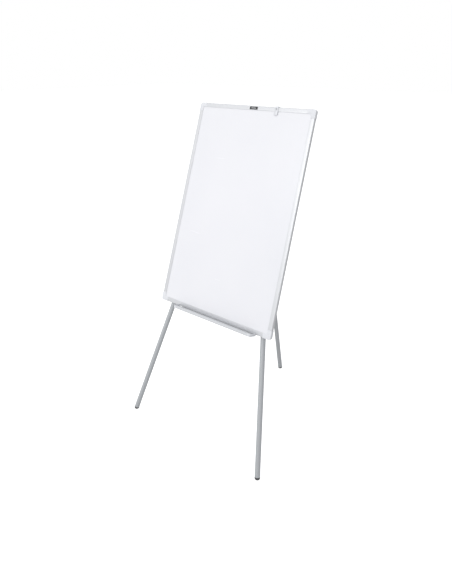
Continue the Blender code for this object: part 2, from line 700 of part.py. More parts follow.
def make_leg_catch(name, side, board):
    # a bent strip: foot under the leg, wall outside it and a lip behind it, open to the middle
    wall = UPPER_RADIUS + GAP
    lip = LEG_PLANE + UPPER_RADIUS + CATCH_LIP_GAP
    outline = [
        (-CATCH_FOOT, PLATE_FRONT),
        (wall + PLATE, PLATE_FRONT),
        (wall + PLATE, lip + PLATE),
        (CATCH_LIP_END, lip + PLATE),
        (CATCH_LIP_END, lip),
        (wall, lip),
        (wall, PLATE_BACK),
        (-CATCH_FOOT, PLATE_BACK),
    ]
    bm = bmesh.new()
    add_prism(bm, [[(side * x, y) for x, y in outline]], "Z", -CATCH_LENGTH / 2, CATCH_LENGTH / 2)
    bevel_sharp_edges(bm, PLATE_BEVEL, 1)
    catch = make_piece(name, bm, board, ZINC, catch_matrix(side))
    x = -side * CATCH_SCREW_INSET
    drill(catch, [plate_hole(x, step * CATCH_SCREW_SPACING / 2) for step in (-1, 1)])


def tube_profile(outer, low, high):
    inner = outer - TUBE_WALL
    return [(inner, low), (outer, low), (outer, high), (inner, high), (inner, low)]


def cross_hole(axis):
    reach = UPPER_RADIUS * 2
    ends = {"X": ((-reach, 0, 0), (reach, 0, 0)), "Y": ((0, -reach, 0), (0, reach, 0))}
    return [(*ends[axis], HOLE_RADIUS)]


def make_upper_tube(name, leg, length, pin_axis):
    bm = bmesh.new()
    add_turned(bm, tube_profile(UPPER_RADIUS, -length, TUBE_TOP))
    tube = make_piece(f"{name}_upper_tube", bm, leg, GREY_TUBE)
    drill(tube, cross_hole(pin_axis))


def make_top_plug(name, leg, pin_axis):
    stem = UPPER_BORE - GAP
    seat = TUBE_TOP + GAP
    bm = bmesh.new()
    profile = [(0, seat - PLUG_STEM), (stem, seat - PLUG_STEM), (stem, seat), (UPPER_RADIUS, seat)]
    profile += [(UPPER_RADIUS, seat + PLUG_CAP / 2), (UPPER_RADIUS - PLUG_CAP / 2, seat + PLUG_CAP)]
    profile += [(0, seat + PLUG_CAP)]
    add_turned(bm, profile)
    plug = make_piece(f"{name}_top_plug", bm, leg, BLACK_PLASTIC)
    drill(plug, cross_hole(pin_axis))


def make_lower_tube(name, leg, tube_end, leg_length):
    bm = bmesh.new()
    low = -leg_length + FOOT_RIM + GAP
    add_turned(bm, tube_profile(LOWER_RADIUS, low, -tube_end + INSERTION))
    make_piece(f"{name}_lower_tube", bm, leg, GREY_TUBE)


def make_glide_bush(name, leg, tube_end):
    seat = -tube_end + INSERTION + GAP
    stem = LOWER_BORE - GAP
    outer = UPPER_BORE - GLIDE_GAP
    bm = bmesh.new()
    profile = [(0, seat - BUSH_STEM), (stem, seat - BUSH_STEM), (stem, seat), (outer, seat)]
    profile += [(outer, seat + BUSH_HEIGHT), (0, seat + BUSH_HEIGHT)]
    add_turned(bm, profile)
    make_piece(f"{name}_glide_bush", bm, leg, NYLON)


def make_clamp_collar(name, leg, tube_end):
    # a sleeve on the end of the upper tube, with a boss to the back for the clamp knob
    top, bottom = -tube_end + COLLAR_GRIP, -tube_end - COLLAR_SKIRT
    step = -tube_end - GAP
    grip, guide = UPPER_RADIUS + GAP, LOWER_RADIUS + GAP
    bm = bmesh.new()
    edge = COLLAR_RADIUS - COLLAR_BEVEL
    profile = [(guide, bottom), (edge, bottom), (COLLAR_RADIUS, bottom + COLLAR_BEVEL)]
    profile += [(COLLAR_RADIUS, top - COLLAR_BEVEL), (edge, top), (grip, top)]
    profile += [(grip, step), (guide, step), (guide, bottom)]
    add_turned(bm, profile)
    collar = make_piece(f"{name}_clamp_collar", bm, leg, BLACK_PLASTIC)
    level = clamp_level(tube_end)
    boss = bmesh.new()
    root = COLLAR_RADIUS - COLLAR_WALL / 2
    add_rod(boss, (0, root, level), (0, BOSS_REACH, level), BOSS_RADIUS, TUBE_SIDES)
    combine(collar, boss, "UNION")
    stud_hole = CLAMP_STUD_RADIUS + GAP
    drill(collar, [((0, LOWER_RADIUS, level), (0, BOSS_REACH + OVERCUT, level), stud_hole)])


def clamp_level(tube_end):
    return -tube_end - COLLAR_SKIRT / 2


def knob_outline():
    points = []
    steps = KNOB_LOBES * LOBE_STEPS
    for step in range(steps):
        angle = 2 * math.pi * step / steps
        radius = KNOB_RADIUS - KNOB_LOBE_DEPTH * (1 - math.cos(KNOB_LOBES * angle)) / 2
        points.append((radius * math.cos(angle), radius * math.sin(angle)))
    return points


def make_clamp_knob(name, leg, tube_end):
    # lobed hand knob on a threaded stud that presses on the lower tube; its axis runs to the back
    tip = LOWER_RADIUS + GAP
    head = BOSS_REACH + GAP
    grip = head + KNOB_NECK_LENGTH
    bm = bmesh.new()
    add_prism(bm, [knob_outline()], "Z", grip, grip + KNOB_THICKNESS)
    bevel_sharp_edges(bm, KNOB_BEVEL)
    turn = Matrix.Rotation(math.radians(-90), 4, "X")
    axis = Matrix.Translation((0, 0, clamp_level(tube_end))) @ turn
    knob = make_piece(f"{name}_clamp_knob", bm, leg, BLACK_PLASTIC, axis)
    stud = bmesh.new()
    root = grip + KNOB_BEVEL
    profile = [(0, tip), (CLAMP_STUD_RADIUS, tip), (CLAMP_STUD_RADIUS, head), (KNOB_NECK, head)]
    profile += [(KNOB_NECK, root), (0, root)]
    add_turned(stud, profile, SMALL_SIDES)
    combine(knob, stud, "UNION")


def make_foot(name, leg, leg_length, ground):
    # ball-ended rubber plug, cut flat where it stands; ground takes floor points into the leg's frame
    bm = bmesh.new()
    profile = [(0, -leg_length - FOOT_RADIUS)]
    profile += [(x, z - leg_length) for x, z in arc((0, 0), FOOT_RADIUS, -75, 0)]
    rim = -leg_length + FOOT_RIM
    stem = LOWER_BORE - GAP
    profile += [(FOOT_RADIUS, rim - FOOT_RIM / 2), (FOOT_RADIUS - FOOT_RIM / 2, rim), (stem, rim)]
    profile += [(stem, rim + FOOT_STEM), (0, rim + FOOT_STEM)]
    add_turned(bm, profile)
    bmesh.ops.recalc_face_normals(bm, faces=bm.faces)
    point = ground @ Vector((0, 0, 0))
    normal = ground.to_3x3() @ Vector((0, 0, 1))
    cut = bmesh.ops.bisect_plane(bm, geom=bm.verts[:] + bm.edges[:] + bm.faces[:], plane_co=point,
                                 plane_no=normal, clear_inner=True)
    rim_edges = [item for item in cut["geom_cut"] if isinstance(item, bmesh.types.BMEdge)]
    bmesh.ops.contextual_create(bm, geom=rim_edges)
    make_piece(f"{name}_foot", bm, leg, RUBBER)


def make_leg(name, board, leg_matrix, tube_end, leg_length, pin_axis):
    leg = make_frame(f"{name}_pivot", board, leg_matrix)
    make_upper_tube(name, leg, tube_end, pin_axis)
    make_top_plug(name, leg, pin_axis)
    make_clamp_collar(name, leg, tube_end)
    make_clamp_knob(name, leg, tube_end)
    make_lower_tube(name, leg, tube_end, leg_length)
    make_glide_bush(name, leg, tube_end)
    make_foot(name, leg, leg_length, (board.matrix_basis @ leg_matrix).inverted())


def make_legs(board):
    for side, name in ((-1, "left"), (1, "right")):
        pivot = Matrix.Translation((side * PIVOT_SPACING / 2, LEG_PLANE, PIVOT_HEIGHT))
        turn = Matrix.Rotation(-side * LEG_SPREAD, 4, "Y")
        make_leg(f"{name}_leg", board, pivot @ turn, FRONT_TUBE_LENGTH, FRONT_LEG_LENGTH, "Y")
        make_leg_catch(f"leg_catch_{name}", side, board)
    pivot = Matrix.Translation((0, REAR_PIVOT_DEPTH, REAR_PIVOT_HEIGHT))
    turn = Matrix.Rotation(REAR_OPENING, 4, "X")
    make_leg("rear_leg", board, pivot @ turn, REAR_TUBE_LENGTH, REAR_LEG_LENGTH, "X")


def make_paper_hook(board):
    # a clip over the top rail: front tab with a peg, bridge, and a back jaw for the thumb screw
    front = -GAP - HOOK_WALL
    jaw = RAIL_DEPTH + GAP
    crown = BOARD_HEIGHT + GAP + HOOK_WALL
    half = HOOK_WIDTH / 2
    low = crown - HOOK_LENGTH
    radius = HOOK_TAB_ROUND
    tab = [(half, crown)]
    tab += [(-half, crown)]
    tab += arc((-half + radius, low + radius), radius, 180, 270)
    tab += arc((half - radius, low + radius), radius, 270, 360)
    bm = bmesh.new()
    add_prism(bm, [tab], "Y", front, -GAP)
    matrix = Matrix.Translation((HOOK_OFFSET, 0, 0))
    hook = make_piece("paper_hook", bm, board, CLEAR_GREY, matrix)

    back = bmesh.new()
    under = BOARD_HEIGHT + GAP
    outline = [
        (front + HOOK_WALL / 2, under),
        (jaw, under),
        (jaw, BOARD_HEIGHT - HOOK_BACK_DROP),
        (jaw + HOOK_BACK, BOARD_HEIGHT - HOOK_BACK_DROP),
        (jaw + HOOK_BACK, crown - HOOK_WALL / 2),
        (jaw + HOOK_BACK - HOOK_WALL / 2, crown),
        (front + HOOK_WALL / 2, crown),
    ]
    add_prism(back, [outline], "X", -half, half)
    combine(hook, back, "UNION")

    peg = bmesh.new()
    level = BOARD_HEIGHT - HOOK_PEG_DROP
    add_rod(peg, (0, -GAP - HOOK_WALL / 2, level), (0, front - HOOK_PEG_LENGTH, level), HOOK_PEG_RADIUS)
    combine(hook, peg, "UNION")
    screw_level = BOARD_HEIGHT - HOOK_SCREW_DROP
    drill(hook, [((0, jaw - OVERCUT, screw_level), (0, jaw + HOOK_BACK + OVERCUT, screw_level),
                  HOOK_SCREW_RADIUS + GAP)])

    bm = bmesh.new()
    head = HOOK_BACK + GAP
    top = head + HOOK_KNOB_THICKNESS
    rim, chamfer = HOOK_KNOB_RADIUS, HOOK_KNOB_CHAMFER
    profile = [(0, 0), (HOOK_SCREW_RADIUS, 0), (HOOK_SCREW_RADIUS, head), (rim - chamfer, head)]
    profile += [(rim, head + chamfer), (rim, top - chamfer), (rim - chamfer, top), (0, top)]
    add_turned(bm, profile, TUBE_SIDES)
    turn = Matrix.Rotation(math.radians(-90), 4, "X")
    seat = Matrix.Translation((HOOK_OFFSET, jaw, screw_level))
    make_piece("hook_screw", bm, board, BLACK_PLASTIC, seat @ turn)


def main():
    for obj in list(bpy.data.objects):
        bpy.data.objects.remove(obj)
    edge = Matrix.Translation((0, BOARD_ORIGIN_Y, BOARD_EDGE_HEIGHT))
    board = make_frame("board_frame", None, edge @ Matrix.Rotation(-BOARD_LEAN, 4, "X"))
    make_board_frame_rails(board)
    make_panel(board)
    make_badge(board)
    make_tray(board)
    make_tray_cap("tray_cap_left", 1, board)
    make_tray_cap("tray_cap_right", -1, board)
    make_head_bracket(board)
    make_back_screws(board)
    make_front_pivots(board)
    make_rear_hinge_pin(board)
    make_legs(board)
    make_paper_hook(board)


main()
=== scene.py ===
import json
import math

import bmesh
import bpy
from mathutils import Matrix, Vector


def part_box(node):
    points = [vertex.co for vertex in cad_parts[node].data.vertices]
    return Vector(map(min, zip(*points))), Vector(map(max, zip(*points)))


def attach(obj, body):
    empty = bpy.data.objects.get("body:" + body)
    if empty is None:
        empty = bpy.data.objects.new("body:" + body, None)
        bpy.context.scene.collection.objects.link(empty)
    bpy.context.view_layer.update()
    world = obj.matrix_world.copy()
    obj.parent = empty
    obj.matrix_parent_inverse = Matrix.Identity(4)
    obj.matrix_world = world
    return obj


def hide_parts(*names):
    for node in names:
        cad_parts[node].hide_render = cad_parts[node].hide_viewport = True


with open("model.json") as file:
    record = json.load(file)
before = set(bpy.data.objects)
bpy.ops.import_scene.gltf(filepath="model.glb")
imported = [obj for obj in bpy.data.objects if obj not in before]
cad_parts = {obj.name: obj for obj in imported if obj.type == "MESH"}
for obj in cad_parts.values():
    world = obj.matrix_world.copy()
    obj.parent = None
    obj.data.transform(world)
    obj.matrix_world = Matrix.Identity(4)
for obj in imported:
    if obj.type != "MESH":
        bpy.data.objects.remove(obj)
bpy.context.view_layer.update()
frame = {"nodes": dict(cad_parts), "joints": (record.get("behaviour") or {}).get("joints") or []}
joints = {joint["name"]: joint for joint in frame["joints"]}
print("frame loaded:", len(frame["nodes"]), "nodes")


class Value:
    # what one socket gives; sums with it add Math nodes
    def __init__(self, nodes, socket):
        self.nodes = nodes
        self.socket = socket

    def combine(self, operation, first, second):
        return self.nodes.node("ShaderNodeMath", {"operation": operation}, {0: first, 1: second})

    def __add__(self, other):
        return self.combine("ADD", self, other)

    def __radd__(self, other):
        return self.combine("ADD", other, self)

    def __sub__(self, other):
        return self.combine("SUBTRACT", self, other)

    def __rsub__(self, other):
        return self.combine("SUBTRACT", other, self)

    def __mul__(self, other):
        return self.combine("MULTIPLY", self, other)

    def __rmul__(self, other):
        return self.combine("MULTIPLY", other, self)


class Nodes:
    # the node tree of a material or of the sky
    def __init__(self, owner):
        owner.use_nodes = True
        self.tree = owner.node_tree

    def node(self, kind, settings=None, sockets=None, output=0):
        # settings come first, then what goes into each socket: a number, a colour or another value
        made = self.tree.nodes.new(kind)
        for name, setting in (settings or {}).items():
            if name == "stops":
                self.setStops(made.color_ramp, setting)
            else:
                setattr(made, name, setting)
        for name, given in (sockets or {}).items():
            if isinstance(given, Value):
                self.tree.links.new(given.socket, made.inputs[name])
            else:
                made.inputs[name].default_value = given
        return Value(self, made.outputs[output])

    def setStops(self, ramp, stops):
        while len(ramp.elements) < len(stops):
            ramp.elements.new(1.0)
        for element, (position, grey) in zip(ramp.elements, stops):
            element.position = position
            element.color = (grey, grey, grey, 1.0)

    def mixed(self, share, first, second):
        return self.node("ShaderNodeMix", {"data_type": "RGBA"},
                         {0: share, 6: opaque(first), 7: opaque(second)}, output=2)


class Finish(Nodes):
    # one material, built round its Principled shader
    def __init__(self, name, look):
        self.material = bpy.data.materials.new(name)
        super().__init__(self.material)
        self.shader = self.tree.nodes["Principled BSDF"]
        for socket in ("Roughness", "Metallic", "Coat Weight", "Coat Roughness", "Specular IOR Level"):
            if socket in look:
                self.shader.inputs[socket].default_value = look[socket]
        self.place = self.node("ShaderNodeTexCoord", output="Object")

    def noise(self, scale, detail=2.0, rough=0.5):
        # in cycles per metre of the piece: one number, or one for each axis
        scales = scale if isinstance(scale, tuple) else (scale, scale, scale)
        stretched = self.node("ShaderNodeVectorMath", {"operation": "MULTIPLY"}, {0: self.place, 1: scales})
        return self.node("ShaderNodeTexNoise", None,
                         {"Vector": stretched, "Scale": 1.0, "Detail": detail, "Roughness": rough})

    def patches(self, scale, start, full, detail=2.0, rough=0.5):
        # noise that is nothing up to one level and whole from another
        return self.node("ShaderNodeValToRGB", {"stops": ((start, 0.0), (full, 1.0))},
                         {0: self.noise(scale, detail, rough)})

    def cells(self, sockets):
        # one grey tone for each cell
        tones = self.node("ShaderNodeTexVoronoi", {"feature": "F1"}, sockets, output="Color")
        return self.node("ShaderNodeSeparateColor", None, {0: tones})

    def feed(self, socket, value):
        self.tree.links.new(value.socket, self.shader.inputs[socket])

    def bump(self, height, distance, strength=1.0):
        # distance is the real depth of the relief, in metres
        normal = self.node("ShaderNodeBump", None,
                           {"Strength": strength, "Distance": distance, "Height": height})
        self.feed("Normal", normal)


def opaque(colour):
    return colour if isinstance(colour, Value) else (*colour, 1.0)


lacquerLook = {
    "colour": (0.80, 0.80, 0.83),
    "tint": (0.76, 0.765, 0.80),
    "Roughness": 0.24,
    "Coat Weight": 0.35,
    "Coat Roughness": 0.10,
    "clouds": (1.7, 1.7, 1.2),
    "wipes": (3.0, 3.0, 38.0),
    "ripple": 210.0,
    "rippleDepth": 0.00002,
}


def makeWhiteLacquer():
    # dry-wipe lacquer: faint clouding, wipe streaks and the ripple of a rolled-on coat
    look = lacquerLook
    finish = Finish("whiteLacquer", look)
    clouds = finish.patches(look["clouds"], 0.35, 0.70, 3.0)
    wipes = finish.noise(look["wipes"], 4.0, 0.6)
    finish.feed("Base Color", finish.mixed(clouds, look["colour"], look["tint"]))
    finish.feed("Roughness", look["Roughness"] - 0.03 + wipes * 0.09)
    finish.bump(finish.noise(look["ripple"], 1.0), look["rippleDepth"], 0.6)
    return finish.material


aluminiumLook = {
    "colour": (0.69, 0.697, 0.712),
    "shade": (0.60, 0.61, 0.63),
    "Roughness": 0.40,
    "Metallic": 0.46,
    "Specular IOR Level": 0.5,
    "dieLines": (2.5, 1600.0, 1600.0),
    "cloud": (9.0, 14.0, 14.0),
    "scuffs": (60.0, 260.0, 260.0),
    "lineDepth": 0.00002,
}
# the rails' satin aluminium copied darker for the tray: its lower colour and shade tones are painted shade,
# standing in for the shadow the tray sits in under the board's bottom edge
trayPaintedShadeLook = {
    **aluminiumLook,
    "colour": (0.66, 0.67, 0.69),
    "shade": (0.56, 0.57, 0.59),
    "Roughness": 0.52,
    "Metallic": 0.12,
}


def makeSatinAluminium(name, look):
    # satin anodised: die lines along the profile, a soft cloud and a few pale scuffs
    finish = Finish(name, look)
    dieLines = finish.noise(look["dieLines"], 3.0, 0.6)
    cloud = finish.noise(look["cloud"])
    scuffs = finish.patches(look["scuffs"], 0.62, 0.74, 4.0, 0.7)
    share = dieLines * 0.6 + cloud * 0.5 - 0.05
    finish.feed("Base Color", finish.mixed(share, look["shade"], look["colour"]))
    finish.feed("Roughness", look["Roughness"] - 0.07 + dieLines * 0.12 + scuffs * 0.10)
    finish.bump(dieLines, look["lineDepth"], 0.5)
    return finish.material


cornerLook = {
    "colour": (0.70, 0.71, 0.74),
    "rub": (0.78, 0.79, 0.815),
    "Roughness": 0.46,
    "Specular IOR Level": 0.45,
    "grain": 1900.0,
    "flow": 45.0,
    "rubbed": 160.0,
    "grainDepth": 0.00004,
}


def makeCornerPlastic():
    # moulded plastic: spark-eroded grain, a flow cloud and paler rubbed spots
    look = cornerLook
    finish = Finish("cornerPlastic", look)
    grain = finish.noise(look["grain"], 2.0, 0.6)
    flow = finish.noise(look["flow"])
    rubbed = finish.patches(look["rubbed"], 0.55, 0.75, 4.0, 0.65)
    finish.feed("Base Color", finish.mixed(rubbed * 0.5 + flow * 0.35, look["colour"], look["rub"]))
    finish.feed("Roughness", look["Roughness"] - 0.05 + grain * 0.10 - rubbed * 0.06)
    finish.bump(grain, look["grainDepth"], 0.7)
    return finish.material


legLook = {
    "colour": (0.40, 0.415, 0.43),
    "fleck": (0.55, 0.57, 0.59),
    "Roughness": 0.48,
    "Metallic": 0.20,
    "Specular IOR Level": 0.5,
    "flake": 1400.0,
    "drawn": (420.0, 420.0, 2.2),
    "rubbed": (70.0, 70.0, 24.0),
    "flakeDepth": 0.00002,
}


def makeLegGrey():
    # silver-grey lacquer on drawn tube: metal flake, fine sag along the tube and dull rubbed bands
    look = legLook
    finish = Finish("legGrey", look)
    spark = finish.cells({"Vector": finish.place, "Scale": look["flake"]})
    drawn = finish.noise(look["drawn"], 3.0, 0.6)
    rubbed = finish.patches(look["rubbed"], 0.58, 0.72, 4.0, 0.7)
    share = spark * 0.55 + drawn * 0.25 + rubbed * 0.12
    finish.feed("Base Color", finish.mixed(share, look["colour"], look["fleck"]))
    finish.feed("Roughness", look["Roughness"] - 0.05 + drawn * 0.10 + rubbed * 0.12)
    finish.bump(drawn * 0.6 + spark * 0.4, look["flakeDepth"], 0.5)
    return finish.material


zincLook = {
    "colour": (0.62, 0.63, 0.64),
    "stain": (0.52, 0.53, 0.50),
    "Roughness": 0.34,
    "Metallic": 0.95,
    "passivated": 55.0,
    "specks": 900.0,
}
plateLook = {**zincLook, "rolled": (700.0, 700.0, 9.0), "rollDepth": 0.00003}
fastenerLook = {**zincLook, "rolled": (160.0, 160.0, 2600.0), "rollDepth": 0.00004}


def makeZinc(name, look):
    # bright zinc: rolling marks one way, cloudy passivation and small dull specks
    finish = Finish(name, look)
    rolled = finish.noise(look["rolled"], 3.0, 0.6)
    passivated = finish.patches(look["passivated"], 0.40, 0.68, 3.0, 0.6)
    specks = finish.patches(look["specks"], 0.66, 0.74)
    share = passivated * 0.55 + specks * 0.25 + rolled * 0.15
    finish.feed("Base Color", finish.mixed(share, look["colour"], look["stain"]))
    finish.feed("Roughness", look["Roughness"] - 0.06 + rolled * 0.14 + specks * 0.12)
    finish.bump(rolled, look["rollDepth"], 0.6)
    return finish.material


backingLook = {
    "colour": (0.55, 0.57, 0.59),
    "dark": (0.43, 0.45, 0.475),
    "Roughness": 0.42,
    "Metallic": 0.75,
    "spangle": 62.0,
    "edgeWander": 130.0,
    "edgeReach": 0.006,
    "feather": (700.0, 90.0, 700.0),
    "spangleDepth": 0.00002,
}


def makeBackingSheet():
    # hot-dip zinc sheet: each crystal takes its own tone, with feathered edges
    look = backingLook
    finish = Finish("backingZinc", look)
    bend = finish.node("ShaderNodeTexNoise", None,
                       {"Vector": finish.place, "Scale": look["edgeWander"]}, output="Color")
    reach = look["edgeReach"]
    warped = finish.node("ShaderNodeVectorMath", {"operation": "MULTIPLY_ADD"},
                         {0: bend, 1: (reach, reach, reach), 2: finish.place})
    tone = finish.cells({"Vector": warped, "Scale": look["spangle"]})
    feather = finish.noise(look["feather"], 3.0, 0.6)
    share = tone * 0.75 + feather * 0.25
    finish.feed("Base Color", finish.mixed(share, look["colour"], look["dark"]))
    finish.feed("Roughness", look["Roughness"] - 0.10 + tone * 0.16 + feather * 0.06)
    finish.bump(feather * 0.4 + tone * 0.6, look["spangleDepth"], 0.35)
    return finish.material


coreLook = {
    "colour": (0.50, 0.37, 0.23),
    "fibreColour": (0.64, 0.50, 0.34),
    "Roughness": 0.9,
    "cells": 80.0,
    "fibre": (500.0, 500.0, 90.0),
    "cellDepth": 0.0002,
}


def makeBoardCore():
    # brown honeycomb board: paper fibre and the print of its cells
    look = coreLook
    finish = Finish("boardCore", look)
    cells = finish.node("ShaderNodeTexVoronoi", {"feature": "DISTANCE_TO_EDGE"},
                        {"Vector": finish.place, "Scale": look["cells"]})
    fibre = finish.noise(look["fibre"], 4.0, 0.6)
    finish.feed("Base Color", finish.mixed(fibre, look["colour"], look["fibreColour"]))
    finish.bump(cells + fibre * 0.05, look["cellDepth"], 0.5)
    return finish.material


blackLook = {
    "colour": (0.018, 0.018, 0.020),
    "worn": (0.055, 0.055, 0.058),
    "Roughness": 0.44,
    "grain": 1500.0,
    "handled": 110.0,
    "grainDepth": 0.00005,
}
badgeLook = {**blackLook, "Roughness": 0.22, "grain": 2600.0}


def makeBlackPlastic(name, look):
    # glass-filled black: moulding grain with greyer handled patches
    finish = Finish(name, look)
    grain = finish.noise(look["grain"], 2.0, 0.6)
    handled = finish.patches(look["handled"], 0.48, 0.76, 4.0, 0.65)
    finish.feed("Base Color", finish.mixed(handled * 0.8, look["colour"], look["worn"]))
    finish.feed("Roughness", look["Roughness"] - 0.06 + grain * 0.12 + handled * 0.05)
    finish.bump(grain, look["grainDepth"], 0.7)
    return finish.material


nylonLook = {
    "colour": (0.74, 0.72, 0.66),
    "milk": (0.84, 0.83, 0.79),
    "Roughness": 0.5,
    "Coat Weight": 0.1,
    "clouds": 150.0,
    "grain": 1300.0,
    "grainDepth": 0.00003,
}


def makeNylon():
    # natural nylon: milky clouds under a fine moulded grain
    look = nylonLook
    finish = Finish("nylon", look)
    clouds = finish.noise(look["clouds"], 3.0)
    finish.feed("Base Color", finish.mixed(clouds, look["colour"], look["milk"]))
    finish.feed("Roughness", look["Roughness"] - 0.08 + clouds * 0.16)
    finish.bump(finish.noise(look["grain"]), look["grainDepth"], 0.5)
    return finish.material


rubberLook = {
    "colour": (0.060, 0.061, 0.063),
    "dustColour": (0.22, 0.22, 0.22),
    "Roughness": 0.80,
    "pores": 850.0,
    "dust": 190.0,
    "poreDepth": 0.00008,
}


def makeFootRubber():
    # black rubber with pale floor dust in its pores
    look = rubberLook
    finish = Finish("footRubber", look)
    pores = finish.noise(look["pores"], 3.0, 0.7)
    dust = finish.patches(look["dust"], 0.50, 0.78, 4.0, 0.7)
    finish.feed("Base Color", finish.mixed(dust * 0.7, look["colour"], look["dustColour"]))
    finish.feed("Roughness", look["Roughness"] - 0.05 + pores * 0.14)
    finish.bump(pores, look["poreDepth"], 0.8)
    return finish.material


hookLook = {
    "colour": (0.62, 0.63, 0.66),
    "streak": (0.74, 0.75, 0.78),
    "Roughness": 0.28,
    "Coat Weight": 0.3,
    "Coat Roughness": 0.12,
    "melt": (90.0, 90.0, 22.0),
    "grain": 1100.0,
    "grainDepth": 0.00002,
}


def makeHookPlastic():
    # smoky clear plastic: pale melt streaks down from the bridge
    look = hookLook
    finish = Finish("hookPlastic", look)
    melt = finish.noise(look["melt"], 3.0, 0.6)
    finish.feed("Base Color", finish.mixed(melt, look["colour"], look["streak"]))
    finish.feed("Roughness", look["Roughness"] - 0.05 + melt * 0.12)
    finish.bump(finish.noise(look["grain"]), look["grainDepth"], 0.5)
    return finish.material


bandLook = {
    "colour": (0.62, 0.63, 0.65),
    "dots": (0.72, 0.73, 0.75),
    "Roughness": 0.30,
    "ink": 2200.0,
}


def makeBadgeBand():
    # pale printed band, with the dots of its ink
    look = bandLook
    finish = Finish("badgeBand", look)
    ink = finish.noise(look["ink"])
    finish.feed("Base Color", finish.mixed(ink, look["colour"], look["dots"]))
    finish.feed("Roughness", look["Roughness"] + ink * 0.12)
    return finish.material


floorLook = {
    "colour": (0.60, 0.60, 0.60),
    "mottle": (0.63, 0.63, 0.63),
    "glow": (0.70, 0.70, 0.70),        # what the floor adds to itself where it is seen
    "Roughness": 0.9,
    "Specular IOR Level": 0.1,
    "patch": 3.0,
}


def makeFloorPaint():
    # pale seamless studio floor
    look = floorLook
    finish = Finish("studioFloor", look)
    mottle = finish.noise(look["patch"], 3.0)
    finish.feed("Base Color", finish.mixed(mottle, look["colour"], look["mottle"]))
    seen = finish.node("ShaderNodeLightPath", output="Is Camera Ray")
    finish.feed("Emission Color", finish.mixed(seen, (0.0, 0.0, 0.0), look["glow"]))
    finish.shader.inputs["Emission Strength"].default_value = 1.0
    return finish.material


whiteLacquer = makeWhiteLacquer()
satinAluminium = makeSatinAluminium("satinAluminium", aluminiumLook)
# the tray's copy of the satin aluminium carries painted shade in its darker colours
trayAluminiumPaintedShade = makeSatinAluminium("trayAluminiumPaintedShade", trayPaintedShadeLook)
cornerPlastic = makeCornerPlastic()
legGrey = makeLegGrey()
zincPlate = makeZinc("zincPlate", plateLook)
fastenerZinc = makeZinc("fastenerZinc", fastenerLook)
backingZinc = makeBackingSheet()
boardCore = makeBoardCore()
blackPlastic = makeBlackPlastic("blackPlastic", blackLook)
badgeBlack = makeBlackPlastic("badgeBlack", badgeLook)
nylon = makeNylon()
footRubber = makeFootRubber()
hookPlastic = makeHookPlastic()
badgeInk = makeBadgeBand()
print("finishes made:", len(bpy.data.materials))


clearance = 0.0003                     # between pieces that touch
overcut = 0.002                        # how far a cutting tool passes the face it cuts
weldReach = 1e-6
smoothAngle = math.radians(32)


def roundedPath(corners, steps=6, closed=True):
    # corners are (x, y) or (x, y, radius), and each one with a radius becomes an arc
    path = []
    for index, corner in enumerate(corners):
        here = Vector(corner[:2])
        onEnd = not closed and index in (0, len(corners) - 1)
        if len(corner) == 2 or onEnd:
            path.append(tuple(here))
            continue
        before = (Vector(corners[index - 1][:2]) - here).normalized()
        after = (Vector(corners[(index + 1) % len(corners)][:2]) - here).normalized()
        halfAngle = before.angle(after) / 2
        centre = here + (before + after).normalized() * corner[2] / math.sin(halfAngle)
        first = here + before * corner[2] / math.tan(halfAngle) - centre
        last = here + after * corner[2] / math.tan(halfAngle) - centre
        start = math.atan2(first.y, first.x)
        sweep = (math.atan2(last.y, last.x) - start + math.pi) % (2 * math.pi) - math.pi
        for step in range(steps + 1):
            angle = start + sweep * step / steps
            path.append((centre.x + corner[2] * math.cos(angle),
                         centre.y + corner[2] * math.sin(angle)))
    return path


def roundedBox(low, high, radius, steps=6):
    corners = [(low[0], low[1]), (high[0], low[1]), (high[0], high[1]), (low[0], high[1])]
    return roundedPath([(x, y, radius) for x, y in corners], steps)


def circlePoints(radius, sides=32):
    angles = [2 * math.pi * side / sides for side in range(sides)]
    return [(radius * math.cos(angle), radius * math.sin(angle)) for angle in angles]


def prismOf(outlines, axis, low, high):
    # the first outline is the outside, the others are holes; drawn as (y, z), (x, z) or (x, y)
    def lift(point, level):
        flat = list(point)
        flat.insert("XYZ".index(axis), level)
        return Vector(flat)

    bm = bmesh.new()
    edges = []
    for outline in outlines:
        verts = [bm.verts.new(lift(point, low)) for point in outline]
        edges += [bm.edges.new(pair) for pair in zip(verts, verts[1:] + verts[:1])]
    filled = bmesh.ops.triangle_fill(bm, edges=edges, use_beauty=True)
    faces = [item for item in filled["geom"] if isinstance(item, bmesh.types.BMFace)]
    raised = bmesh.ops.extrude_face_region(bm, geom=faces, use_keep_orig=True)
    verts = [item for item in raised["geom"] if isinstance(item, bmesh.types.BMVert)]
    bmesh.ops.translate(bm, verts=verts, vec=lift((0, 0), high) - lift((0, 0), low))
    return bm


def turnedOf(profile, sides=48, place=None):
    # (radius, height) points spun round Z; a ring where the profile comes back to its start
    bm = bmesh.new()
    verts = [bm.verts.new((radius, 0, height)) for radius, height in profile]
    edges = [bm.edges.new(pair) for pair in zip(verts, verts[1:])]
    bmesh.ops.spin(bm, geom=verts + edges, cent=(0, 0, 0), axis=(0, 0, 1), angle=2 * math.pi,
                   steps=sides, use_merge=True)
    bmesh.ops.remove_doubles(bm, verts=bm.verts, dist=weldReach)
    if place:
        bmesh.ops.transform(bm, matrix=place, verts=bm.verts)
    return bm


def loftOf(rings, closed=False):
    # rings of equal length, joined one to the next and filled at both ends, or closed on themselves
    bm = bmesh.new()
    loops = [[bm.verts.new(point) for point in ring] for ring in rings]
    for lower, upper in zip(loops, loops[1:] + loops[:closed]):
        for index in range(len(lower)):
            after = (index + 1) % len(lower)
            bm.faces.new((lower[index], lower[after], upper[after], upper[index]))
    if not closed:
        bm.faces.new(loops[0][::-1])
        bm.faces.new(loops[-1])
    return bm


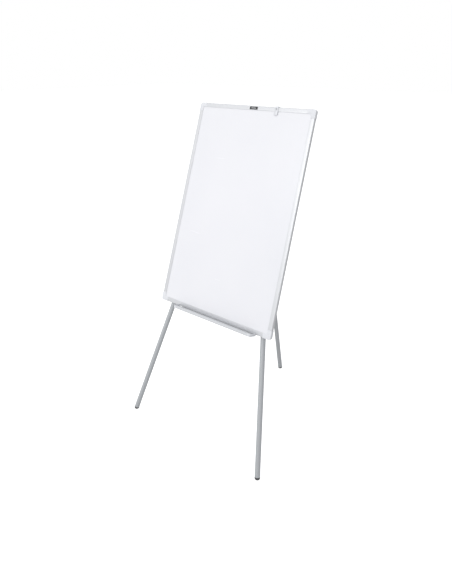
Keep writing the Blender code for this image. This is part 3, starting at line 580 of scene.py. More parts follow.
def rodOf(start, end, radius):
    along = Vector(end) - Vector(start)
    turn = along.to_track_quat("Z", "Y").to_matrix().to_4x4()
    bm = prismOf([circlePoints(radius)], "Z", 0, along.length)
    bmesh.ops.transform(bm, matrix=Matrix.Translation(start) @ turn, verts=bm.verts)
    return bm


def newPiece(name, bm):
    bmesh.ops.recalc_face_normals(bm, faces=bm.faces)
    mesh = bpy.data.meshes.new(name)
    bm.to_mesh(mesh)
    bm.free()
    piece = bpy.data.objects.new(name, mesh)
    bpy.context.scene.collection.objects.link(piece)
    return piece


def settle(piece):
    # keeps what the modifiers make as the piece's own mesh
    graph = bpy.context.evaluated_depsgraph_get()
    made = bpy.data.meshes.new_from_object(piece.evaluated_get(graph))
    piece.modifiers.clear()
    piece.data = made


def carve(piece, operation, bm):
    tool = newPiece("carvingTool", bm)
    modifier = piece.modifiers.new("carve", "BOOLEAN")
    modifier.operation = operation
    modifier.solver = "EXACT"
    modifier.object = tool
    settle(piece)
    bpy.data.objects.remove(tool)


def drill(piece, holes):
    for start, end, radius in holes:
        carve(piece, "DIFFERENCE", rodOf(start, end, radius))


def soften(piece, width, segments=2):
    modifier = piece.modifiers.new("soften", "BEVEL")
    modifier.width = width
    modifier.segments = segments
    modifier.limit_method = "ANGLE"
    modifier.angle_limit = smoothAngle
    settle(piece)


def fitPiece(piece, place, body, material, slot, *nodes, upright=False):
    # upright pieces keep the room's axes, so their own box is no larger than they are
    mesh = piece.data
    mesh.materials.clear()
    mesh.materials.append(material)
    mesh.shade_smooth()
    mesh.set_sharp_from_angle(angle=smoothAngle)
    if upright:
        mesh.transform(place.to_3x3().to_4x4())
        place = Matrix.Translation(place.translation)
    piece.matrix_world = place
    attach(piece, body)
    if nodes:
        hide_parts(*nodes)
    return piece


def twinOf(piece, name):
    twin = bpy.data.objects.new(name, piece.data)
    bpy.context.scene.collection.objects.link(twin)
    return twin


def dressNode(node, material):
    frame["nodes"][node].material_slots[0].material = material


def spanIn(place, *nodes):
    # lowest and highest corner of CAD nodes, measured along a frame's own axes
    inverse = place.inverted()
    points = [inverse @ vert.co for node in nodes for vert in frame["nodes"][node].data.vertices]
    low = Vector([min(point[axis] for point in points) for axis in range(3)])
    high = Vector([max(point[axis] for point in points) for axis in range(3)])
    return low, high


def middleIn(place, node):
    low, high = spanIn(place, node)
    return [(least + most) / 2 for least, most in zip(low, high)]


def frameOf(side, back, up, origin=(0, 0, 0)):
    turn = Matrix((side, back, up)).transposed().to_4x4()
    return Matrix.Translation(origin) @ turn


# the board's own frame: across, into the board from its front face, and up from its bottom edge
across = Vector((1, 0, 0))
intoBoard = Vector(joints["right_leg_fold"]["axis"]).normalized()
boardTurn = frameOf(across, intoBoard, across.cross(intoBoard))
outerLow, outerHigh = spanIn(boardTurn, "rail_left", "rail_right", "rail_top", "rail_bottom")
boardMiddle = Vector(((outerLow.x + outerHigh.x) / 2, outerLow.y, outerLow.z))
board = boardTurn @ Matrix.Translation(boardMiddle)
boardWidth, boardDepth, boardHeight = outerHigh - outerLow
halfWidth = boardWidth / 2

# turned pieces are made along Z, then laid along the board's Y or X
zToBack = Matrix.Rotation(math.radians(-90), 4, "X")
zToSide = Matrix.Rotation(math.radians(90), 4, "Y")
flipped = Matrix.Rotation(math.pi, 4, "X")


def legFrameOf(leg):
    # at the leg's pivot, Z up the leg and Y to the back
    up = -Vector(joints[f"{leg}_extend"]["axis"]).normalized()
    if leg == "rear_leg":
        side, back = across, up.cross(across)
    else:
        side, back = intoBoard.cross(up), intoBoard
    return frameOf(side, back, up, joints[f"{leg}_fold"]["pos_m"])


legNames = ("left_leg", "right_leg", "rear_leg")
legFrames = {leg: legFrameOf(leg) for leg in legNames}
upperRadius = spanIn(legFrames["left_leg"], "left_leg_upper_tube")[1].x
lowerRadius = spanIn(legFrames["left_leg"], "left_leg_lower_tube")[1].x


railShape = {
    "wall": 0.0014,
    "chamber": 0.0058,
    "chamberChamfer": 0.0015,
    "backFlange": 0.014,
    "frontRound": 0.004,
    "backRound": 0.0025,
    "lipRound": 0.0005,
    "insideRound": 0.0004,
}
sides = {
    "bottom": (0, (0, 0, 0)),
    "right": (-90, (halfWidth, 0, boardHeight / 2)),
    "top": (180, (0, 0, boardHeight)),
    "left": (90, (-halfWidth, 0, boardHeight / 2)),
}


def sideFrame(side):
    degrees, middle = sides[side]
    return board @ Matrix.Translation(middle) @ Matrix.Rotation(math.radians(degrees), 4, "Y")


def chamberOutline(inset=0.0):
    shape = railShape
    front, outer = shape["wall"] + inset, shape["wall"] + inset
    back = boardDepth - shape["wall"] - inset
    inner = shape["wall"] + shape["chamber"] - inset
    chamfer = shape["chamberChamfer"]
    return [(front + chamfer, outer), (back, outer), (back, inner), (front, inner),
            (front, outer + chamfer)]


def buildRails():
    shape = railShape
    wall, fine = shape["wall"], shape["insideRound"]
    web = 2 * wall + shape["chamber"]
    for side in sides:
        place = sideFrame(side)
        low, high = spanIn(place, f"rail_{side}")
        face, depth = high.z, high.y
        outline = roundedPath([
            (0, 0, shape["frontRound"]),
            (0, face, shape["lipRound"]),
            (wall, face, shape["lipRound"]),
            (wall, web, fine),
            (depth - wall, web, fine),
            (depth - wall, shape["backFlange"], fine),
            (depth, shape["backFlange"], fine),
            (depth, 0, shape["backRound"]),
        ], steps=7)
        rail = newPiece(f"frame_rail_{side}", prismOf([outline, chamberOutline()], "X", low.x, high.x))
        fitPiece(rail, place, "board", satinAluminium, "satin_aluminium", f"rail_{side}")


cornerShape = {
    "arm": 0.042,
    "round": 0.012,
    "insideRound": 0.003,
    "edgeRound": 0.0009,
    "tongue": 0.024,
    "tongueRoot": 0.006,
}
cornerPlaces = {
    "bottom_left": (0, (-halfWidth, 0, 0)),
    "bottom_right": (-90, (halfWidth, 0, 0)),
    "top_right": (180, (halfWidth, 0, boardHeight)),
    "top_left": (90, (-halfWidth, 0, boardHeight)),
}


def buildCorners():
    shape = cornerShape
    arm = shape["arm"]
    slotStart = spanIn(board, "writing_sheet")[0].z - clearance
    face = spanIn(board, "rail_bottom")[1].z
    wall = railShape["wall"]
    for corner, (degrees, point) in cornerPlaces.items():
        place = board @ Matrix.Translation(point) @ Matrix.Rotation(math.radians(degrees), 4, "Y")
        low, high = spanIn(place, f"corner_{corner}")
        outline = roundedPath([
            (arm, low.z), (arm, face), (face, face, shape["insideRound"]), (face, arm), (low.x, arm),
            (low.x, low.z, shape["round"]),
        ], steps=12)
        piece = newPiece(f"frame_corner_{corner}", prismOf([outline], "Y", low.y, high.y))
        soften(piece, shape["edgeRound"], 3)
        far = arm * 2
        panelGap = [(slotStart, slotStart), (far, slotStart), (far, far), (slotStart, far)]
        carve(piece, "DIFFERENCE", prismOf([panelGap], "Y", wall, boardDepth - wall))
        root, tip = arm - shape["tongueRoot"], arm + shape["tongue"]
        lying = chamberOutline(clearance)
        upright = [(reach, depth) for depth, reach in lying]
        carve(piece, "UNION", prismOf([lying], "X", root, tip))
        carve(piece, "UNION", prismOf([upright], "Z", root, tip))
        fitPiece(piece, place, "board", cornerPlastic, "corner_plastic", f"corner_{corner}")


badgeShape = {
    "round": 0.0022,
    "edge": 0.00025,
    "bandLength": 0.027,
    "bandHeight": 0.0026,
    "bandThickness": 0.00008,
    "bandRound": 0.6,                  # share of half the band's height
}


def buildBadge():
    shape = badgeShape
    low, high = spanIn(board, "name_badge")
    plate = roundedBox((low.x, low.z), (high.x, high.z), shape["round"], 8)
    badge = newPiece("badge_plate", prismOf([plate], "Y", low.y, high.y))
    soften(badge, shape["edge"], 3)
    fitPiece(badge, board, "board", badgeBlack, "badge_black", "name_badge")
    level = (low.z + high.z) / 2
    reach, rise = shape["bandLength"] / 2, shape["bandHeight"] / 2
    band = roundedBox((-reach, level - rise), (reach, level + rise), rise * shape["bandRound"], 5)
    bm = prismOf([band], "Y", low.y - shape["bandThickness"], low.y)
    fitPiece(newPiece("badge_band", bm), board, "board", badgeInk, "badge_black")


def dressPanel():
    dressNode("writing_sheet", whiteLacquer)
    dressNode("board_core", boardCore)
    dressNode("backing_sheet", backingZinc)


trayShape = {
    "wall": 0.0016,
    "lipDrop": 0.0032,
    "ribCount": 3,
    "ribPitch": 0.0120,
    "ribFoot": 0.0020,
    "ribCrest": 0.0009,
    "ribHeight": 0.0020,
    "edgeRound": 0.0004,
    "rimRound": 0.49,                  # share of the wall, so the lip's top is round
}


def buildTray():
    shape = trayShape
    wall, fine = shape["wall"], shape["edgeRound"]
    low, high = spanIn(board, "pen_tray")
    top, bottom = -clearance, -clearance - wall
    front, back = low.y, high.y
    corners = [(back, bottom, fine), (back, top, fine)]
    ribSpan = (shape["ribCount"] - 1) * shape["ribPitch"]
    for index in range(shape["ribCount"]):
        rib = front / 2 + ribSpan / 2 - index * shape["ribPitch"]
        foot, crest, rise = shape["ribFoot"] / 2, shape["ribCrest"] / 2, top + shape["ribHeight"]
        corners += [(rib + foot, top, fine), (rib + crest, rise, fine), (rib - crest, rise, fine),
                    (rib - foot, top, fine)]
    rim, rimRound = high.z, wall * shape["rimRound"]
    inside = front + wall
    corners += [(inside, top, fine * 2), (inside, rim, rimRound), (front, rim, rimRound),
                (front, low.z, fine), (inside, low.z, fine), (inside, bottom, fine)]
    bm = prismOf([roundedPath(corners, steps=4)], "X", low.x, high.x)
    tray = newPiece("tray_channel", bm)
    reach = 2 * overcut
    for side in ("left", "right"):
        x, y = middleIn(board, f"tray_screw_{side}")[:2]
        drill(tray, [((x, y, bottom - reach), (x, y, reach), screwShape["shank"] + clearance)])
    fitPiece(tray, board, "board", trayAluminiumPaintedShade, "satin_aluminium", "pen_tray")


capShape = {
    "length": 0.016,
    "round": 0.013,
    "wall": 0.0022,
    "edgeRound": 0.0007,
    "tongueLength": 0.018,
    "tongueThickness": 0.0012,
    "tongueWidth": 0.026,
    "tongueRound": 0.0015,
}


def buildTrayCaps():
    shape = capShape
    wall, length = shape["wall"], shape["length"]
    top, bottom = -clearance, -clearance - trayShape["wall"]
    for side, sign in (("left", 1), ("right", -1)):
        low, high = spanIn(board, f"tray_cap_{side}")
        outerEnd = low.x if sign > 0 else high.x
        drop = bottom - trayShape["lipDrop"]
        rim, front = high.z, low.y

        def plan(inset, inner):
            return roundedPath([(sign * inner, -clearance), (sign * inner, front + inset),
                                (sign * inset, front + inset, shape["round"] - inset),
                                (sign * inset, -clearance)], steps=12)

        cap = newPiece(f"tray_end_{side}", prismOf([plan(0, length)], "Z", drop, rim))
        soften(cap, shape["edgeRound"], 3)
        for start, end in ((top, rim + overcut), (drop - overcut, bottom)):
            carve(cap, "DIFFERENCE", prismOf([plan(wall, length + overcut)], "Z", start, end))
        middle, half = front / 2, shape["tongueWidth"] / 2
        left, right = sorted((sign * wall / 2, sign * (length + shape["tongueLength"])))
        tongue = roundedBox((left, middle - half), (right, middle + half), shape["tongueRound"], 4)
        under = bottom - clearance
        carve(cap, "UNION", prismOf([tongue], "Z", under - shape["tongueThickness"], under))
        place = board @ Matrix.Translation((outerEnd, 0, 0))
        fitPiece(cap, place, "board", cornerPlastic, "corner_plastic", f"tray_cap_{side}")


screwShape = {
    "shank": 0.00175,
    "tip": 0.0008,
    "head": 0.0036,
    "headHeight": 0.0022,
    "length": 0.0085,
    "slotWidth": 0.0008,
    "slotReach": 0.0019,
    "slotDepth": 0.0013,
    "slotFloor": 0.45,                 # share of the slot's reach at its floor
    "tipTaper": 0.002,
    "rimRound": 0.0003,
    "shoulder": 0.55,                  # share of the head's height
    "shoulderRound": 0.0008,
    "crown": 0.62,                     # share of the head's radius
    "crownRound": 0.0024,
}


def buildScrews():
    # pan heads with a cross recess; every screw shares the first one's mesh
    shape = screwShape
    head, top, shank, length = (shape[key] for key in ("head", "headHeight", "shank", "length"))
    profile = roundedPath([
        (0, -length), (shape["tip"], -length), (shank, -length + shape["tipTaper"]), (shank, 0),
        (head, 0, shape["rimRound"]), (head, top * shape["shoulder"], shape["shoulderRound"]),
        (head * shape["crown"], top, shape["crownRound"]), (0, top),
    ], steps=5, closed=False)
    master = newPiece("screwBlank", turnedOf(profile, 40))
    floor, above = top - shape["slotDepth"], top + overcut / 4
    wide, half = shape["slotReach"], shape["slotWidth"] / 2
    narrow = wide * shape["slotFloor"]
    slot = [(-wide, above), (-narrow, floor), (narrow, floor), (wide, above)]
    for axis in ("X", "Y"):
        carve(master, "DIFFERENCE", prismOf([slot], axis, -half, half))
    for node in sorted(frame["nodes"]):
        if not node.startswith(("head_screw", "catch_screw", "tray_screw")):
            continue
        low, high = spanIn(board, node)
        middle = (low + high) / 2
        if node.startswith("tray"):
            seat = Matrix.Translation((middle.x, middle.y, low.z + top)) @ flipped
        else:
            seat = Matrix.Translation((middle.x, high.y - top, middle.z)) @ zToBack
        fitPiece(twinOf(master, f"{node}_head"), board @ seat, "board", fastenerZinc,
                 "fastener_zinc", node)
    bpy.data.objects.remove(master)


bracketShape = {
    "thickness": 0.002,
    "plateRound": 0.010,
    "edgeRound": 0.0005,
    "bend": 0.0016,
    "earGap": 0.002,                   # between the rear leg and each ear
    "earRound": 0.013,
    "earBase": 0.046,
    "earSweep": 120,
    "earSteps": 16,
    "ribWidth": 0.009,
    "ribRise": 0.0012,
    "ribSlope": 0.0016,
    "ribReach": 0.086,
    "ribMargin": 0.010,
}
studShape = {
    "radius": 0.004,
    "pitch": 0.00125,
    "depth": 0.00055,
    "chamfer": 0.0007,
    "endRound": 0.0003,
    "headRadius": 0.0066,
    "headHeight": 0.003,
    "headRound": 0.0018,
    "washerRound": 0.0005,
    "beyondNut": 0.004,                # how far the thread runs on below its nut
    "crest": 0.15,                     # shares of the pitch
    "root": 0.55,
}


def earPiece(sign, pin, front, back):
    # one bent ear: its section from above, cut to its rounded side view
    shape = bracketShape
    inner = upperRadius + shape["earGap"]
    outer = inner + shape["thickness"]
    reach, half = pin.y + shape["earRound"], shape["earBase"] / 2
    root = front + shape["thickness"] * 0.4
    flare, fine = outer + shape["bend"] + overcut / 2, shape["edgeRound"]
    section = roundedPath([
        (sign * flare, root), (sign * flare, back), (sign * outer, back, shape["bend"]),
        (sign * outer, reach, fine), (sign * inner, reach, fine), (sign * inner, root),
    ], steps=5)
    ear = newPiece("earBlank", prismOf([section], "Z", pin.z - half, pin.z + half))
    outline = [(root - overcut / 2, pin.z - half)]
    for step in range(shape["earSteps"] + 1):
        angle = math.radians(shape["earSweep"] * (step / shape["earSteps"] - 0.5))
        outline.append((pin.y + shape["earRound"] * math.cos(angle),
                        pin.z + shape["earRound"] * math.sin(angle)))
    outline.append((root - overcut / 2, pin.z + half))
    spread = sorted((sign * (inner - overcut), sign * (outer + 5 * overcut)))
    carve(ear, "INTERSECT", prismOf([outline], "X", *spread))
    return ear


def buildHeadBracket():
    # pressed plate with two ears bent out for the rear leg and a pressed rib on each side
    shape = bracketShape
    low, high = spanIn(board, "head_bracket")
    pin = board.inverted() @ legFrames["rear_leg"].translation
    front = spanIn(board, "leg_catch_left")[0].y
    back = front + shape["thickness"]
    plate = roundedBox((low.x, low.z), (high.x, high.z), shape["plateRound"], 10)
    bracket = newPiece("head_plate", prismOf([plate], "Y", front, back))
    soften(bracket, shape["edgeRound"], 2)
    for sign in (-1, 1):
        ear = earPiece(sign, pin, front, back)
        joined = bmesh.new()
        joined.from_mesh(ear.data)
        bpy.data.objects.remove(ear)
        carve(bracket, "UNION", joined)

    outer = upperRadius + shape["earGap"] + shape["thickness"]
    run = (shape["ribReach"] - outer) / 2 - shape["ribMargin"]
    half, slope = shape["ribWidth"] / 2, shape["ribSlope"]
    for sign in (-1, 1):
        middle = sign * (shape["ribReach"] + outer) / 2
        base, crest = (
            roundedBox((middle - run + inset, pin.z - half + inset),
                       (middle + run - inset, pin.z + half - inset),
                       (shape["ribWidth"] - 2 * inset) * 0.49, 8) for inset in (0, slope))
        rings = [[(x, depth, z) for x, z in outline] for outline, depth in (
            (base, back - overcut / 4), (base, back), (crest, back + shape["ribRise"]))]
        carve(bracket, "UNION", loftOf(rings))

    ends = outer + 2 * overcut
    holes = [((-ends, pin.y, pin.z), (ends, pin.y, pin.z), studShape["radius"] + clearance)]
    for corner in ("top_left", "top_right", "low_left", "low_right"):
        x, y, z = middleIn(board, f"head_screw_{corner}")
        holes.append(((x, front - overcut, z), (x, back + overcut, z), screwShape["shank"] + clearance))
    drill(bracket, holes)
    fitPiece(bracket, board, "board", zincPlate, "zinc_plate", "head_bracket")


nutLow, nutHigh = spanIn(board, "pivot_nut_left")
nutHeight = nutHigh.y - nutLow.y
nutAcrossFlats = nutHigh.z - nutLow.z
nutShape = {
    "chamfer": 0.0011,
    "slope": 0.55,                     # the chamfer's height for its width
    "boreFlare": 0.0006,
    "steps": 72,                       # a multiple of six, so the corners are met
}


def nutPiece(name):
    # hexagon with its corners turned off at both ends and a chamfered bore, in closed rings
    shape = nutShape
    rim = nutAcrossFlats / math.sqrt(3) - shape["chamfer"]
    bore, flare, steps = studShape["radius"] + clearance, shape["boreFlare"], shape["steps"]
    rings = []
    for upper in (False, True):
        half = [[], [], [], []]
        for step in range(steps):
            angle = 2 * math.pi * step / steps
            flat = nutAcrossFlats / 2 / math.cos(angle % (math.pi / 3) - math.pi / 6)
            spots = [(bore, flare), (bore + flare, 0), (rim, 0), (flat, (flat - rim) * shape["slope"])]
            for ring, (reach, level) in zip(half, spots):
                level = nutHeight - level if upper else level
                ring.append((reach * math.cos(angle), reach * math.sin(angle), level))
        rings += half[::-1] if upper else half
    return newPiece(name, loftOf(rings, closed=True))


def boltPiece(name, start, length):
    # a profile from its head or plain end, then the thread and a chamfered tip
    shape = studShape
    radius, chamfer = shape["radius"], shape["chamfer"]
    profile = list(start)
    low, high = length - nutHeight - shape["beyondNut"], length - chamfer
    for turn in range(int((high - low) / shape["pitch"])):
        level = low + turn * shape["pitch"]
        profile += [(radius, level), (radius, level + shape["pitch"] * shape["crest"]),
                    (radius - shape["depth"], level + shape["pitch"] * shape["root"])]
    profile += [(radius - chamfer, length), (0, length)]
    return newPiece(name, turnedOf(profile, 36))


def buildPivots():
    shape = studShape
    radius, fine = shape["radius"], shape["endRound"]
    nutMaster = nutPiece("nutBlank")
    for side in ("left", "right"):
        stud = f"pivot_stud_{side}"
        low, high = spanIn(board, stud)
        x, y, z = middleIn(board, stud)
        base = board @ Matrix.Translation((x, low.y, z)) @ zToBack
        bolt = boltPiece(f"pivot_bolt_{side}", [(0, 0), (radius - fine, 0), (radius, fine)], high.y - low.y)
        fitPiece(bolt, base, "board", fastenerZinc, "fastener_zinc", stud)

        low, high = spanIn(board, f"pivot_spacer_{side}")
        outer, bore, thick = (high.x - low.x) / 2, radius + clearance, high.y - low.y
        edge = shape["washerRound"]
        ring = roundedPath([(bore, 0, edge), (outer, 0, edge), (outer, thick, edge),
                            (bore, thick, edge)], 3)
        washer = newPiece(f"pivot_washer_{side}", turnedOf(ring + ring[:1], 64))
        fitPiece(washer, base, "board", nylon, "nylon", f"pivot_spacer_{side}")

        low, high = spanIn(board, f"pivot_nut_{side}")
        seat = board @ Matrix.Translation((x, low.y, z)) @ zToBack
        nut = twinOf(nutMaster, f"pivot_hex_nut_{side}")
        fitPiece(nut, seat, "board", fastenerZinc, "fastener_zinc", f"pivot_nut_{side}")

    low, high = spanIn(board, "rear_hinge_pin")
    x, y, z = middleIn(board, "rear_hinge_pin")
    headRadius, head = shape["headRadius"], shape["headHeight"]
    start = roundedPath([(0, 0), (headRadius, 0, shape["headRound"]), (headRadius, head, fine),
                         (radius, head)], 5, closed=False)
    base = board @ Matrix.Translation((low.x, y, z)) @ zToSide
    bolt = boltPiece("rear_hinge_bolt", start, high.x - low.x)
    fitPiece(bolt, base, "board", fastenerZinc, "fastener_zinc", "rear_hinge_pin")
    low, high = spanIn(board, "rear_hinge_nut")
    seat = board @ Matrix.Translation((low.x, y, z)) @ zToSide
    nut = twinOf(nutMaster, "rear_hinge_hex_nut")
    fitPiece(nut, seat, "board", fastenerZinc, "fastener_zinc", "rear_hinge_nut")
    bpy.data.objects.remove(nutMaster)


catchShape = {
    "thickness": 0.002,
    "foot": 0.030,
    "bend": 0.0010,
    "lipGap": 0.001,
    "lipEnd": 0.002,
    "screwInset": 0.022,
    "screwSpacing": 0.020,
    "edgeRound": 0.0004,
}


def buildLegCatches():
    # bent strips that hold the front legs against the board when they are folded in or out
    shape = catchShape
    thickness, fine = shape["thickness"], shape["edgeRound"]
    for side, sign in (("left", -1), ("right", 1)):
        leg = legFrames[f"{side}_leg"]
        low, high = spanIn(leg, f"leg_catch_{side}")
        front = low.y
        back = front + thickness
        wall = upperRadius + clearance
        lip = upperRadius + shape["lipGap"]
        bendIn, bendOut = shape["bend"], shape["bend"] + thickness
        outline = roundedPath([
            (-shape["foot"], front, fine), (wall + thickness, front, bendOut),
            (wall + thickness, lip + thickness, bendOut), (shape["lipEnd"], lip + thickness, fine),
            (shape["lipEnd"], lip, fine), (wall, lip, bendIn), (wall, back, bendIn),
            (-shape["foot"], back, fine),
        ], steps=6)
        bm = prismOf([[(sign * x, y) for x, y in outline]], "Z", low.z, high.z)
        catch = newPiece(f"leg_clip_{side}", bm)
        soften(catch, shape["edgeRound"], 2)
        x, middle = -sign * shape["screwInset"], (low.z + high.z) / 2
        rise = shape["screwSpacing"] / 2
        bore = screwShape["shank"] + clearance
        drill(catch, [((x, front - overcut, level), (x, back + overcut, level), bore)
                      for level in (middle - rise, middle + rise)])
        fitPiece(catch, leg, "board", zincPlate, "zinc_plate", f"leg_catch_{side}")


tubeShape = {
    "wall": 0.0010,
    "rim": 0.0004,
    "sides": 72,
}


def tubeRing(outer, low, high):
    shape = tubeShape
    inner, rim = outer - shape["wall"], shape["rim"]
    ring = roundedPath([(inner, low, rim), (outer, low, rim), (outer, high, rim), (inner, high, rim)], 3)
    return ring + ring[:1]


def pinHole(leg):
    reach = upperRadius + 2 * overcut
    bore = studShape["radius"] + clearance
    if leg == "rear_leg":
        return [((-reach, 0, 0), (reach, 0, 0), bore)]
    return [((0, -reach, 0), (0, reach, 0), bore)]


def buildTubes(leg):
    place = legFrames[leg]
    for part, body, radius in (("upper", leg, upperRadius), ("lower", f"{leg}_extension", lowerRadius)):
        node = f"{leg}_{part}_tube"
        low, high = spanIn(place, node)
        bm = turnedOf(tubeRing(radius, low.z, high.z), tubeShape["sides"])
        tube = newPiece(f"{leg}_{part}_section", bm)
        if part == "upper":
            drill(tube, pinHole(leg))
        fitPiece(tube, place, body, legGrey, "leg_grey", node)


plugShape = {
    "cap": 0.002,
    "dimple": 0.0028,
    "dimpleDepth": 0.0005,
    "dimpleSlope": 0.0006,
    "taper": 0.0008,
    "taperLength": 0.0012,
    "crownRound": 0.0016,
    "edgeRound": 0.0003,
}


def buildTopPlug(leg):
    place = legFrames[leg]
    low, high = spanIn(place, f"{leg}_top_plug")
    shape = plugShape
    stem = upperRadius - tubeShape["wall"] - clearance
    seat, fine = high.z - shape["cap"], shape["edgeRound"]
    dimple, floor = shape["dimple"], high.z - shape["dimpleDepth"]
    profile = roundedPath([
        (0, low.z), (stem - shape["taper"], low.z), (stem, low.z + shape["taperLength"]), (stem, seat),
        (upperRadius, seat, fine), (upperRadius, high.z, shape["crownRound"]),
        (dimple + shape["dimpleSlope"], high.z, fine), (dimple, floor, fine), (0, floor),
    ], steps=5, closed=False)
    plug = newPiece(f"{leg}_end_plug", turnedOf(profile, 64))
    drill(plug, pinHole(leg))
    fitPiece(plug, place, leg, blackPlastic, "black_plastic", f"{leg}_top_plug")


collarShape = {
    "grip": 0.028,
    "edgeRound": 0.0012,
    "grooves": 4,
    "grooveInset": 0.006,
    "groovePitch": 0.0032,
    "grooveDepth": 0.0006,
    "grooveHalf": 0.0008,
    "mouthRound": 0.0004,
    "boss": 0.0085,
    "bossFlare": 0.0014,
    "bossFoot": 0.0008,
    "bossFillet": 0.003,
    "bossRound": 0.0007,
}


def buildClampCollar(leg):
    place = legFrames[leg]
    shape = collarShape
    low, high = spanIn(place, f"{leg}_clamp_collar")
    radius = high.x
    end = high.z - shape["grip"]
    step = end - clearance
    grip, guide = upperRadius + clearance, lowerRadius + clearance
    mouth, crestRound = shape["mouthRound"], 0.0002
    corners = [(guide, low.z, mouth), (radius, low.z, shape["edgeRound"])]
    firstGroove = high.z - shape["grooveInset"] - (shape["grooves"] - 1) * shape["groovePitch"]
    for groove in range(shape["grooves"]):
        level = firstGroove + groove * shape["groovePitch"]
        corners += [(radius, level - shape["grooveHalf"], crestRound),
                    (radius - shape["grooveDepth"], level, mouth),
                    (radius, level + shape["grooveHalf"], crestRound)]
    corners += [(radius, high.z, shape["edgeRound"]), (grip, high.z, mouth), (grip, step), (guide, step)]
    ring = roundedPath(corners, 4)
    collar = newPiece(f"{leg}_clamp_sleeve", turnedOf(ring + ring[:1], 72))
    level = (low.z + end) / 2
    boss, bossEnd = shape["boss"], high.y
    root = radius - shape["bossFillet"]
    profile = roundedPath([(0, root), (boss + shape["bossFlare"], root),
                           (boss, radius + shape["bossFoot"], shape["bossFillet"]),
                           (boss, bossEnd, shape["bossRound"]), (0, bossEnd)], 5, closed=False)
    seat = Matrix.Translation((0, 0, level)) @ zToBack
    carve(collar, "UNION", turnedOf(profile, 64, seat))
    bore = knobShape["stud"] + clearance
    drill(collar, [((0, lowerRadius, level), (0, bossEnd + overcut, level), bore)])
    fitPiece(collar, place, leg, blackPlastic, "black_plastic", f"{leg}_clamp_collar")


knobShape = {
    "lobes": 6,
    "lobeDepth": 0.0018,
    "lobeSteps": 12,
    "thickness": 0.012,
    "neck": 0.0065,
    "neckLength": 0.003,
    "stud": 0.003,
    "dish": 0.0072,
    "dishSlope": 0.0007,
    "dishDepth": 0.0014,
    "studTaper": 0.0006,
    "neckRound": 0.0005,
    # how far the edge draws in, how far from that face, and the share of the lobes' depth
    "underEdge": ((0.0022, 0.0, 0.6), (0.0007, 0.0003, 0.9), (0.0, 0.0014, 1.0)),
    "topEdge": ((0.0, 0.0030, 1.0), (0.0004, 0.0016, 1.0), (0.0014, 0.0005, 0.8), (0.0030, 0.0, 0.5)),
}


def lobedRing(radius, level, lobes, depth, steps):
    ring = []
    for step in range(lobes * steps):
        angle = 2 * math.pi * step / (lobes * steps)
        reach = radius - depth * (1 - math.cos(lobes * angle)) / 2
        ring.append((reach * math.cos(angle), reach * math.sin(angle), level))
    return ring


def buildClampKnob(leg):
    # lobed hand knob, dished on top, on a stud that bears on the lower tube
    place = legFrames[leg]
    shape = knobShape
    low, high = spanIn(place, f"{leg}_clamp_knob")
    level = (low.z + high.z) / 2
    radius, top = (high.x - low.x) / 2, high.y
    bottom = top - shape["thickness"]
    tip, head = low.y, bottom - shape["neckLength"]
    lobes, deep, steps = shape["lobes"], shape["lobeDepth"], shape["lobeSteps"]
    rings = [lobedRing(radius - inset, bottom + rise, lobes, deep * share, steps)
             for inset, rise, share in shape["underEdge"]]
    rings += [lobedRing(radius - inset, top - drop, lobes, deep * share, steps)
              for inset, drop, share in shape["topEdge"]]
    dish, dishDepth = shape["dish"], shape["dishDepth"]
    rings += [lobedRing(reach, height, lobes, 0, steps) for reach, height in (
        (dish, top), (dish - shape["dishSlope"], top - dishDepth), (dish * 0.4, top - dishDepth * 0.7))]
    knob = newPiece(f"{leg}_clamp_grip", loftOf(rings))
    stud, neck, taper = shape["stud"], shape["neck"], shape["studTaper"]
    inside = bottom + overcut / 2
    profile = roundedPath([(0, tip), (stud - taper, tip), (stud, tip + taper), (stud, head),
                           (neck, head, shape["neckRound"]), (neck, inside), (0, inside)],
                          4, closed=False)
    carve(knob, "UNION", turnedOf(profile, 48))
    seat = place @ Matrix.Translation((0, 0, level)) @ zToBack
    fitPiece(knob, seat, f"{leg}_clamp", blackPlastic, "black_plastic", f"{leg}_clamp_knob")


footShape = {
    "stem": 0.020,
    "rim": 0.0012,
    "treadInset": 0.0016,
    "treadDepth": 0.0006,
    "treadSlope": 0.0003,
    "grooveDepth": 0.0004,
    "grooveHalf": 0.0003,
    "rimRound": 0.0005,
    "stemTaper": 0.001,
}


